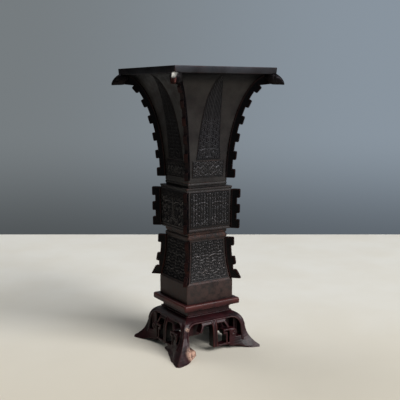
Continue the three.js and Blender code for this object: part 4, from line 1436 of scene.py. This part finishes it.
class Wiring:
    """Shorthand for one node tree."""

    def __init__(self, tree: bpy.types.NodeTree) -> None:
        """Work on this tree."""
        self.tree = tree

    def put(self, node: bpy.types.Node, inputs: dict[str | int, object]) -> None:
        """Link a node's inputs, or set their values.

        Args:
            node: The node.
            inputs: Sockets or values by input.
        """
        for key, value in inputs.items():
            socket = node.inputs[key]
            if isinstance(value, bpy.types.NodeSocket):
                self.tree.links.new(value, socket)
            elif isinstance(value, tuple) and socket.type == "RGBA":
                socket.default_value = (*value, 1.0)
            else:
                socket.default_value = value

    def add(
        self, kind: str, inputs: dict[str | int, object] | None = None, **settings: object
    ) -> bpy.types.Node:
        """Add a node with its settings and inputs.

        Args:
            kind: Blender's name for the node.
            inputs: Sockets or values by input.
            settings: Its own settings.

        Returns:
            The node.
        """
        node = self.tree.nodes.new(kind)
        for key, value in settings.items():
            setattr(node, key, value)
        self.put(node, inputs or {})
        return node

    def mix(self, share: object, a: object, b: object) -> Socket:
        """Mix two colours.

        Args:
            share: How much of the second.
            a: First colour.
            b: Second colour.

        Returns:
            The mixed colour.
        """
        node = self.add("ShaderNodeMix", data_type="RGBA")
        self.put(node, {0: share, 6: a, 7: b})
        return node.outputs[2]

    def math(self, operation: str, *values: object) -> Socket:
        """One sum of one or two values."""
        return self.add("ShaderNodeMath", dict(enumerate(values)), operation=operation).outputs[0]

    def times(self, first: object, *factors: object) -> object:
        """Product of several values.

        Args:
            first: First value.
            factors: The others.

        Returns:
            The product.
        """
        for factor in factors:
            first = self.math("MULTIPLY", first, factor)
        return first

    def measure(self, operation: str, a: Socket, b: Sequence[float]) -> Socket:
        """One number from two vectors."""
        return self.add("ShaderNodeVectorMath", {0: a, 1: b}, operation=operation).outputs["Value"]

    def remap(
        self, value: object, low: object, high: object, to_low: float = 0.0, to_high: float = 1.0
    ) -> Socket:
        """Smooth step between two values."""
        inputs = {"Value": value, "From Min": low, "From Max": high, "To Min": to_low, "To Max": to_high}
        return self.add("ShaderNodeMapRange", inputs, interpolation_type="SMOOTHSTEP").outputs["Result"]

    def noise(self, vector: Socket, scale: object, detail: float = 4.0, rough: float = 0.55) -> Socket:
        """Noise value."""
        inputs = {"Vector": vector, "Scale": scale, "Detail": detail, "Roughness": rough}
        return self.add("ShaderNodeTexNoise", inputs).outputs["Fac"]

    def place(self) -> Socket:
        """Coordinates of the object's own frame."""
        return self.add("ShaderNodeTexCoord").outputs["Object"]

    def split(self, vector: Socket) -> list[Socket]:
        """The three parts of a vector."""
        return list(self.add("ShaderNodeSeparateXYZ", {0: vector}).outputs)

    def mask(self, name: str) -> Socket:
        """One of a piece's surface masks."""
        return self.add("ShaderNodeAttribute", attribute_name=name).outputs["Fac"]

    def bump(self, strength: float, distance: float, height: Socket) -> Socket:
        """Normal of a fine relief."""
        inputs = {"Strength": strength, "Distance": distance, "Height": height}
        return self.add("ShaderNodeBump", inputs).outputs["Normal"]

    def effect(self, tree: bpy.types.NodeTree, **values: float) -> Sequence[Socket]:
        """Outputs of a shared effect with its own values."""
        return self.add("ShaderNodeGroup", values, node_tree=tree).outputs


def make_group(name: str, wire: Callable[..., dict[str, Socket]], **inputs: float) -> bpy.types.NodeTree:
    """Build a shared effect as a node group.

    Args:
        name: Name of the group.
        wire: Makes the nodes and returns the output sockets by name.
        inputs: Input names and defaults.

    Returns:
        The group.
    """
    tree = bpy.data.node_groups.new(name, "ShaderNodeTree")
    for label, value in inputs.items():
        socket = tree.interface.new_socket(name=label, in_out="INPUT", socket_type="NodeSocketFloat")
        socket.default_value = value
    source = tree.nodes.new("NodeGroupInput")
    made = wire(Wiring(tree), *(source.outputs[label] for label in inputs))
    for label in made:
        tree.interface.new_socket(name=label, in_out="OUTPUT", socket_type="NodeSocketFloat")
    sink = tree.nodes.new("NodeGroupOutput")
    for label, socket in made.items():
        tree.links.new(socket, sink.inputs[label])
    return tree


class Effects:
    """The shared surface effects, each built once."""

    RUB_PATCHES = (0.38, 0.62)
    BROAD_CLOUDS = (0.32, 0.68)
    FINE_CLOUDS = (0.3, 0.7)
    FINE_SCALE = 7.0
    SWELLING_SCALE = 0.22
    GRAIN_STRETCH = (1.0, 1.0, 0.12)
    FIGURE_SCALE = 170.0
    FIGURE = (0.34, 0.66)
    PORE_SCALE = 1500.0
    PORES = (0.56, 0.68)

    def __init__(self) -> None:
        """Build the groups."""
        self.rub = make_group("edge_rub", self.wire_rub, Low=0.52, High=0.6, Patches=60.0)
        self.clouds = make_group("tone_clouds", self.wire_clouds, Scale=40.0)
        self.skin = make_group("cast_skin", self.wire_skin, Scale=900.0)
        self.grain = make_group("wood_grain", self.wire_grain, Scale=1.0)
        self.painted_shade = make_group("painted_shade", self.wire_painted_shade, Low=0.1, High=0.4)

    @classmethod
    def wire_rub(cls, w: Wiring, low: Socket, high: Socket, patches: Socket) -> dict[str, Socket]:
        """Wear on raised edges, broken up in patches.

        Args:
            w: Wiring of the group.
            low: Pointiness at which wear starts.
            high: Pointiness at which it is full.
            patches: Scale of the patches.

        Returns:
            The mask.
        """
        edge = w.remap(w.add("ShaderNodeNewGeometry").outputs["Pointiness"], low, high)
        broken = w.remap(w.noise(w.place(), patches, detail=5.0, rough=0.6), *cls.RUB_PATCHES)
        return {"Mask": w.times(edge, broken)}

    @classmethod
    def wire_clouds(cls, w: Wiring, scale: Socket) -> dict[str, Socket]:
        """Broad and fine changes of tone.

        Args:
            w: Wiring of the group.
            scale: Scale of the broad ones.

        Returns:
            Both, 0 to 1.
        """
        place = w.place()
        fine = w.noise(place, w.times(scale, cls.FINE_SCALE), detail=6.0, rough=0.62)
        return {"Broad": w.remap(w.noise(place, scale, detail=3.0), *cls.BROAD_CLOUDS),
                "Fine": w.remap(fine, *cls.FINE_CLOUDS)}

    @classmethod
    def wire_skin(cls, w: Wiring, scale: Socket) -> dict[str, Socket]:
        """Fine pits and swellings of cast metal.

        Args:
            w: Wiring of the group.
            scale: Scale of the pits.

        Returns:
            The height.
        """
        place = w.place()
        swellings = w.noise(place, w.times(scale, cls.SWELLING_SCALE), detail=4.0)
        return {"Height": w.math("ADD", w.noise(place, scale, detail=3.0), swellings)}

    @classmethod
    def wire_grain(cls, w: Wiring, scale: Socket) -> dict[str, Socket]:
        """Long figure and fine dark pores along the upright.

        Args:
            w: Wiring of the group.
            scale: Scale of both.

        Returns:
            Both, 0 to 1.
        """
        along = w.add("ShaderNodeMapping", {"Vector": w.place(), "Scale": cls.GRAIN_STRETCH}).outputs[0]
        figure = w.noise(along, w.times(scale, cls.FIGURE_SCALE), detail=5.0, rough=0.6)
        pores = w.noise(along, w.times(scale, cls.PORE_SCALE), detail=2.0)
        return {"Figure": w.remap(figure, *cls.FIGURE), "Pores": w.remap(pores, *cls.PORES)}

    @staticmethod
    def wire_painted_shade(w: Wiring, low: Socket, high: Socket) -> dict[str, Socket]:
        """Painted shade on cut walls, backs and undersides of square work: whatever faces neither outwards
        nor up.

        Args:
            w: Wiring of the group.
            low: Outward share at which the mask is full.
            high: Outward share at which it ends.

        Returns:
            The mask.
        """
        x, y, _ = w.split(w.place())
        normal_x, normal_y, normal_z = w.split(w.add("ShaderNodeNewGeometry").outputs["Normal"])
        out_x = w.times(normal_x, w.math("SIGN", x))
        out_y = w.times(normal_y, w.math("SIGN", y))
        front = w.math("GREATER_THAN", w.math("ABSOLUTE", y), w.math("ABSOLUTE", x))
        side = w.math("SUBTRACT", 1.0, front)
        outward = w.math("ADD", w.times(front, out_y), w.times(side, out_x))
        return {"Mask": w.remap(w.math("MAXIMUM", outward, normal_z), high, low)}


def start_material(name: str) -> tuple[bpy.types.Material, Wiring, bpy.types.Node]:
    """Start a node material.

    Args:
        name: Name of the material.

    Returns:
        The material, its wiring and its Principled shader.
    """
    material = bpy.data.materials.new(name)
    material.use_nodes = True
    return material, Wiring(material.node_tree), material.node_tree.nodes["Principled BSDF"]


@dataclass(frozen=True)
class BronzeFinish:
    """Dark patinated bronze, rubbed to copper on its edges. Heights in metres.

    It is warmer and lighter towards the foot, partly patina and partly painted bounce light, has painted
    shade under the rim, and may have painted shade and painted glints on the left face.
    """

    name: str
    dark: Color = (0.011, 0.011, 0.012)
    pale: Color = (0.029, 0.028, 0.027)
    # Foot colours, warmer and lighter: partly reddish patina, partly painted light bounced up from the cloth.
    warm: Color = (0.058, 0.036, 0.032)
    groove: Color = (0.003, 0.003, 0.004)
    black: Color = (0.003, 0.003, 0.004)
    bounce_lit_groove: Color = (0.014, 0.013, 0.013)
    ridge: Color = (0.036, 0.035, 0.037)
    bounce_lit_ridge: Color = (0.056, 0.052, 0.051)
    # Ridge colour of the painted glints on the lower left face.
    left_glint_ridge: Color = (0.036, 0.035, 0.037)
    copper: Color = (0.055, 0.021, 0.016)
    glance: Color = (0.45, 0.45, 0.47)
    metallic: float = 0.85
    plain_metallic: float = 0.85
    shine: float = 0.25
    roughness: Pair = (0.36, 0.52)
    skin_scale: float = 1100.0
    skin_strength: float = 0.25
    skin_depth: float = 0.00025
    cloud_scale: float = 34.0
    warm_zone: Pair = (0.15, 0.06)
    warm_share: Pair = (0.15, 0.9)
    warm_clouds: Pair = (-0.5, 1.0)
    crest: Pair = (0.12, 0.55)
    carved_dust: float = 0.4
    rub_edge: Pair = (0.515, 0.57)
    rub_patches: float = 75.0
    edge_wear: float = 1.0
    carved_calm: float = 0.75
    handling: float = 0.45
    patches: Pair = (0.3, 0.8)
    broad_patches: Pair = (-0.3, 0.8)
    # Painted shade under the rim's overhang: its strength and its heights.
    under_rim_shade: float = 0.0
    under_rim_shade_zone: Pair = (0.265, 0.273)
    # Left face: where it starts, how much painted shade it has, and painted glints on its relief below the
    # given heights.
    left_edge: float = -0.003
    left_painted_shade: float = 0.0
    left_painted_glint: float = 0.0
    left_glint_zone: Pair = (0.158, 0.152)

    def make(self, effects: Effects) -> bpy.types.Material:
        """Build the material.

        Args:
            effects: The shared effects.

        Returns:
            The material.
        """
        material, w, shader = start_material(self.name)
        clouds = w.effect(effects.clouds, Scale=self.cloud_scale)
        broad, fine = clouds["Broad"], clouds["Fine"]
        carving = w.mask("field")
        x, y, height = w.split(w.place())
        # Towards the foot the bronze is painted warmer and lighter: partly reddish patina, partly painted
        # light bounced up from the cloth.
        low = w.remap(height, *self.warm_zone, *self.warm_share)
        # Mask of the left face, which carries painted shade and painted glints.
        left = w.remap(w.math("ADD", x, w.math("ABSOLUTE", y)), 0.0, self.left_edge)
        plain = w.mix(broad, self.dark, self.pale)
        plain = w.mix(w.times(w.remap(fine, *self.warm_clouds), low), plain, self.warm)
        # Painted glints: on the lower left face the ridges are painted paler and the grooves black.
        polish = w.times(left, w.remap(height, *self.left_glint_zone, 0.0, self.left_painted_glint))
        ridge = w.mix(polish, w.mix(low, self.ridge, self.bounce_lit_ridge), self.left_glint_ridge)
        groove = w.mix(polish, w.mix(low, self.groove, self.bounce_lit_groove), self.black)
        carved = w.mix(w.remap(w.mask("relief"), *self.crest), groove, ridge)
        carved = w.mix(w.times(fine, self.carved_dust), carved, self.dark)
        base = w.mix(carving, plain, carved)
        # Painted shade under the rim's overhang.
        base = w.mix(w.remap(height, *self.under_rim_shade_zone, 0.0, self.under_rim_shade), base, self.black)
        # Painted shade on the left face.
        base = w.mix(w.times(left, self.left_painted_shade), base, self.black)
        calm = w.math("SUBTRACT", self.edge_wear, w.times(carving, self.carved_calm * self.edge_wear))
        start, full = self.rub_edge
        worn = w.effect(effects.rub, Low=start, High=full, Patches=self.rub_patches)
        rub = w.times(worn["Mask"], calm)
        handled = w.times(w.mask("rub"), w.remap(fine, *self.patches), w.remap(broad, *self.broad_patches),
                          self.handling)
        skin = w.effect(effects.skin, Scale=self.skin_scale)
        metallic = self.metallic
        if self.plain_metallic != self.metallic:
            metallic = w.remap(carving, 0.0, 1.0, self.plain_metallic, self.metallic)
        w.put(shader, {
            "Base Color": w.mix(w.math("MAXIMUM", rub, handled), base, self.copper),
            "Roughness": w.remap(fine, 0.0, 1.0, *self.roughness),
            "Metallic": metallic,
            "Specular IOR Level": self.shine,
            "Specular Tint": self.glance,
            "Normal": w.bump(self.skin_strength, self.skin_depth, skin["Height"]),
        })
        return material


@dataclass(frozen=True)
class WoodFinish:
    """Polished dark red hardwood, worn lighter on its edges, with a bare spot, a painted highlight and
    painted shade inside. Spots in metres.
    """

    name: str
    dark: Color = (0.0045, 0.0020, 0.0024)
    red: Color = (0.025, 0.0052, 0.0068)
    worn: Color = (0.066, 0.0155, 0.0125)
    # Colour of the painted shade on cut walls, backs and undersides.
    inside: Color = (0.0015, 0.0009, 0.0010)
    bare: Color = (0.42, 0.255, 0.19)
    grain_scale: float = 1.0
    cloud_scale: float = 50.0
    red_clouds: float = 0.5
    pore_share: float = 0.6
    rub_edge: Pair = (0.506, 0.545)
    rub_patches: float = 90.0
    edge_wear: float = 0.85
    wear_clouds: Pair = (-0.4, 0.9)
    painted_shade_zone: Pair = (0.1, 0.45)
    roughness: Pair = (0.3, 0.44)
    shine: float = 0.15
    coat: float = 0.05
    coat_roughness: float = 0.18
    grain_strength: float = 0.15
    grain_depth: float = 0.0002
    bare_roughness: float = 0.25
    bare_clouds: Pair = (-0.2, 0.7)
    bare_core: float = 0.4
    # The first spot is bare wood worn at the front left heel; the second, on the near leg's shoulder, is a
    # painted highlight.
    bare_and_glint_spots: tuple[tuple[float, float, float, float], ...] = (
        (-0.0305, -0.0445, 0.0050, 0.0110), (-0.0320, -0.0365, 0.0290, 0.0030))

    def make(self, effects: Effects) -> bpy.types.Material:
        """Build the material.

        Args:
            effects: The shared effects.

        Returns:
            The material.
        """
        material, w, shader = start_material(self.name)
        grain = w.effect(effects.grain, Scale=self.grain_scale)
        clouds = w.effect(effects.clouds, Scale=self.cloud_scale)
        broad, fine = clouds["Broad"], clouds["Fine"]
        base = w.mix(grain["Figure"], self.dark, self.red)
        base = w.mix(w.times(broad, self.red_clouds), base, self.red)
        base = w.mix(w.times(grain["Pores"], self.pore_share), base, self.dark)
        start, full = self.rub_edge
        worn = w.effect(effects.rub, Low=start, High=full, Patches=self.rub_patches)
        rub = w.times(worn["Mask"], self.edge_wear)
        handled = w.times(w.mask("rub"), w.remap(broad, *self.wear_clouds))
        base = w.mix(w.math("MAXIMUM", rub, handled), base, self.worn)
        # Painted shade: whatever faces neither outwards nor up is darkened to the inside colour.
        deep, end = self.painted_shade_zone
        base = w.mix(w.effect(effects.painted_shade, Low=deep, High=end)["Mask"], base, self.inside)
        # Bare wood at the heel and a painted highlight at the shoulder, paler and rougher than the polish.
        bare = 0.0
        for *spot, reach in self.bare_and_glint_spots:
            away = w.measure("DISTANCE", w.place(), spot)
            bare = w.math("MAXIMUM", bare, w.remap(away, reach, reach * self.bare_core))
        bare = w.times(bare, w.remap(fine, *self.bare_clouds))
        polish = w.remap(fine, 0.0, 1.0, *self.roughness)
        w.put(shader, {
            "Base Color": w.mix(bare, base, self.bare),
            "Roughness": w.math("ADD", polish, w.times(bare, self.bare_roughness)),
            "Specular IOR Level": self.shine,
            "Coat Weight": self.coat,
            "Coat Roughness": self.coat_roughness,
            "Normal": w.bump(self.grain_strength, self.grain_depth, grain["Figure"]),
        })
        return material


@dataclass(frozen=True)
class Lamp:
    """One square lamp that points at the object. Sizes in metres and watts."""

    name: str
    place: tuple[float, float, float]
    size: float
    power: float
    tint: Color = (1.0, 1.0, 1.0)


@dataclass(frozen=True)
class Studio:
    """Camera, pale cloth-covered table, soft light and a plain grey surround. Sizes in metres."""

    camera_place: tuple[float, float, float] = (-0.3711, -0.5978, 0.2577)
    camera_back: tuple[float, float, float] = (-0.5265, -0.8366, 0.1513)
    lens: float = 62.9
    sensor: float = 36.0
    table_edge: float = 0.56
    table_front: float = -3.0
    table_half: float = 2.5
    cloth: Color = (0.745, 0.725, 0.665)
    near_cloth: Color = (0.66, 0.605, 0.50)
    near_zone: Pair = (0.25, -0.2)
    cloth_scale: float = 9.0
    cloth_clouds: float = 0.3
    cloth_roughness: float = 0.9
    cloth_strength: float = 0.2
    cloth_depth: float = 0.002
    lamps: tuple[Lamp, ...] = (
        Lamp("key", (1.488, -3.744, 2.9), 3.0, 325.0),
        Lamp("top", (-0.40, 1.20, 1.9), 1.3, 14.0),
        Lamp("low_right", (1.0, -1.55, 0.22), 0.7, 2.0, (0.8, 0.9, 1.0)),
    )
    lamp_target: tuple[float, float, float] = (0.0, 0.0, 0.14)
    wall_left: Color = (0.180, 0.200, 0.211)
    wall_right: Color = (0.250, 0.296, 0.345)
    wall_blend: Pair = (-0.28, 0.28)
    wall_foot: float = 0.42
    foot_zone: Pair = (-0.22, -0.05)
    dark_side: float = 0.3
    dark_zone: Pair = (-0.75, -0.45)
    fill: float = 0.35

    def build(self, effects: Effects) -> None:
        """Set up everything round the object.

        Args:
            effects: The shared effects.
        """
        scene = bpy.context.scene
        scene.view_settings.view_transform = "Standard"
        data = bpy.data.cameras.new("photo_camera")
        data.lens, data.sensor_width = self.lens, self.sensor
        scene.camera = add_object("photo_camera", data)
        self.aim(scene.camera, self.camera_place, -Vector(self.camera_back))
        self.build_table(effects)
        self.build_lamps()
        self.build_world()

    @staticmethod
    def aim(thing: bpy.types.Object, place: Sequence[float], way: Vector) -> None:
        """Set a camera or lamp in its place, looking one way.

        Args:
            thing: The camera or lamp.
            place: Its place.
            way: Direction that it looks in.
        """
        thing.location = place
        thing.rotation_mode = "QUATERNION"
        thing.rotation_quaternion = way.to_track_quat("-Z", "Y")

    def build_table(self, effects: Effects) -> None:
        """Plain pale cloth that ends behind the object.

        Args:
            effects: The shared effects.
        """
        away = -Vector((*self.camera_back[:2], 0.0)).normalized()
        aside = Vector((-away.y, away.x, 0.0))
        edges = ((self.table_edge, -1), (self.table_edge, 1), (self.table_front, 1), (self.table_front, -1))
        corners = [tuple(away * far + aside * self.table_half * side) for far, side in edges]
        mesh = bpy.data.meshes.new("table_cloth")
        mesh.from_pydata(corners, [], [(0, 1, 2, 3)])
        cloth = add_object("table_cloth", mesh)
        material, w, shader = start_material("pale_cloth")
        broad = w.effect(effects.clouds, Scale=self.cloth_scale)["Broad"]
        depth = w.measure("DOT_PRODUCT", w.place(), away)
        tone = w.mix(w.remap(depth, *self.near_zone), self.cloth, self.near_cloth)
        w.put(shader, {
            "Base Color": w.mix(w.times(broad, self.cloth_clouds), tone, self.near_cloth),
            "Roughness": self.cloth_roughness,
            "Normal": w.bump(self.cloth_strength, self.cloth_depth, broad),
        })
        mesh.materials.append(material)

    def build_lamps(self) -> None:
        """A broad key from the right front, a weak light high behind and a weak low one at the right."""
        for lamp in self.lamps:
            data = bpy.data.lights.new(lamp.name, "AREA")
            data.size, data.energy, data.color = lamp.size, lamp.power, lamp.tint
            self.aim(add_object(lamp.name, data), lamp.place, Vector(self.lamp_target) - Vector(lamp.place))

    def build_world(self) -> None:
        """Grey surround, darker towards the table and far to the left, that metal also reflects."""
        world = bpy.data.worlds.new("grey_surround")
        world.use_nodes = True
        w = Wiring(world.node_tree)
        way = w.add("ShaderNodeTexCoord").outputs["Generated"]
        *_, up = w.split(way)
        aside = w.measure("DOT_PRODUCT", way, (-self.camera_back[1], self.camera_back[0], 0.0))
        wall = w.mix(w.remap(aside, *self.wall_blend), self.wall_left, self.wall_right)
        shade = w.times(w.remap(up, *self.foot_zone, self.wall_foot, 1.0),
                        w.remap(aside, *self.dark_zone, self.dark_side, 1.0))
        path = w.add("ShaderNodeLightPath").outputs
        seen = w.math("MAXIMUM", path["Is Camera Ray"], path["Is Glossy Ray"])
        seen = w.math("MAXIMUM", seen, path["Is Transmission Ray"])
        w.put(world.node_tree.nodes["Background"], {
            "Color": w.mix(shade, (0.0, 0.0, 0.0), wall),
            "Strength": w.remap(seen, 0.0, 1.0, self.fill, 1.0),
        })
        bpy.context.scene.world = world


# The castings have painted shade under the rim and painted glints on the lower left face.
CASTINGS = BronzeFinish(
    "patinated_bronze", dark=(0.009, 0.009, 0.0098), pale=(0.024, 0.0235, 0.0228),
    warm=(0.049, 0.0305, 0.027), copper=(0.085, 0.036, 0.026), groove=(0.009, 0.0087, 0.009),
    bounce_lit_groove=(0.017, 0.016, 0.016), left_glint_ridge=(0.085, 0.081, 0.081), left_painted_glint=1.0,
    plain_metallic=0.4, under_rim_shade=0.92)
FLANGES = BronzeFinish(
    "black_bronze", dark=(0.004, 0.004, 0.005), pale=(0.011, 0.010, 0.011), warm=(0.040, 0.0155, 0.0135),
    copper=(0.032, 0.011, 0.009), edge_wear=0.5, handling=0.35)
# The heads' whitish copper paints a highlight on their rubbed crowns, besides the wear.
HEADS = replace(
    FLANGES, name="rubbed_and_highlit_bronze", warm=(0.018, 0.008, 0.007), ridge=(0.045, 0.016, 0.013),
    bounce_lit_ridge=(0.045, 0.016, 0.013), copper=(0.62, 0.59, 0.53), edge_wear=0.0, handling=1.0,
    patches=(-0.9, 0.3))
# The leaves have painted shade on the left face.
LEAVES = BronzeFinish(
    "leaf_bronze", ridge=(0.021, 0.021, 0.024), metallic=0.35, plain_metallic=0.35, shine=0.12,
    left_painted_shade=0.72)
RIM = BronzeFinish(
    "rim_bronze", dark=(0.015, 0.0155, 0.018), pale=(0.031, 0.032, 0.037), warm=(0.034, 0.032, 0.034))
BASE = BronzeFinish("cast_base_bronze", pale=(0.10, 0.075, 0.055), plain_metallic=0.6)
WOOD = WoodFinish("red_hardwood")


def main() -> None:
    """Build and dress the vase and the stand, then the studio."""
    logging.basicConfig(level=logging.INFO, format="%(name)s: %(message)s")
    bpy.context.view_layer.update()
    effects = Effects()
    wood = WOOD.make(effects)
    for node, material in (("base_plate", BASE.make(effects)), ("seat_panel", wood)):
        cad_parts[node].data.materials.clear()
        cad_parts[node].data.materials.append(material)
    vase = Vase()
    vase.build_castings(CASTINGS.make(effects), LEAVES.make(effects), RIM.make(effects))
    vase.build_flanges(FLANGES.make(effects), HEADS.make(effects))
    Stand().build(wood)
    Studio().build(effects)


if __name__ == "__main__":
    main()
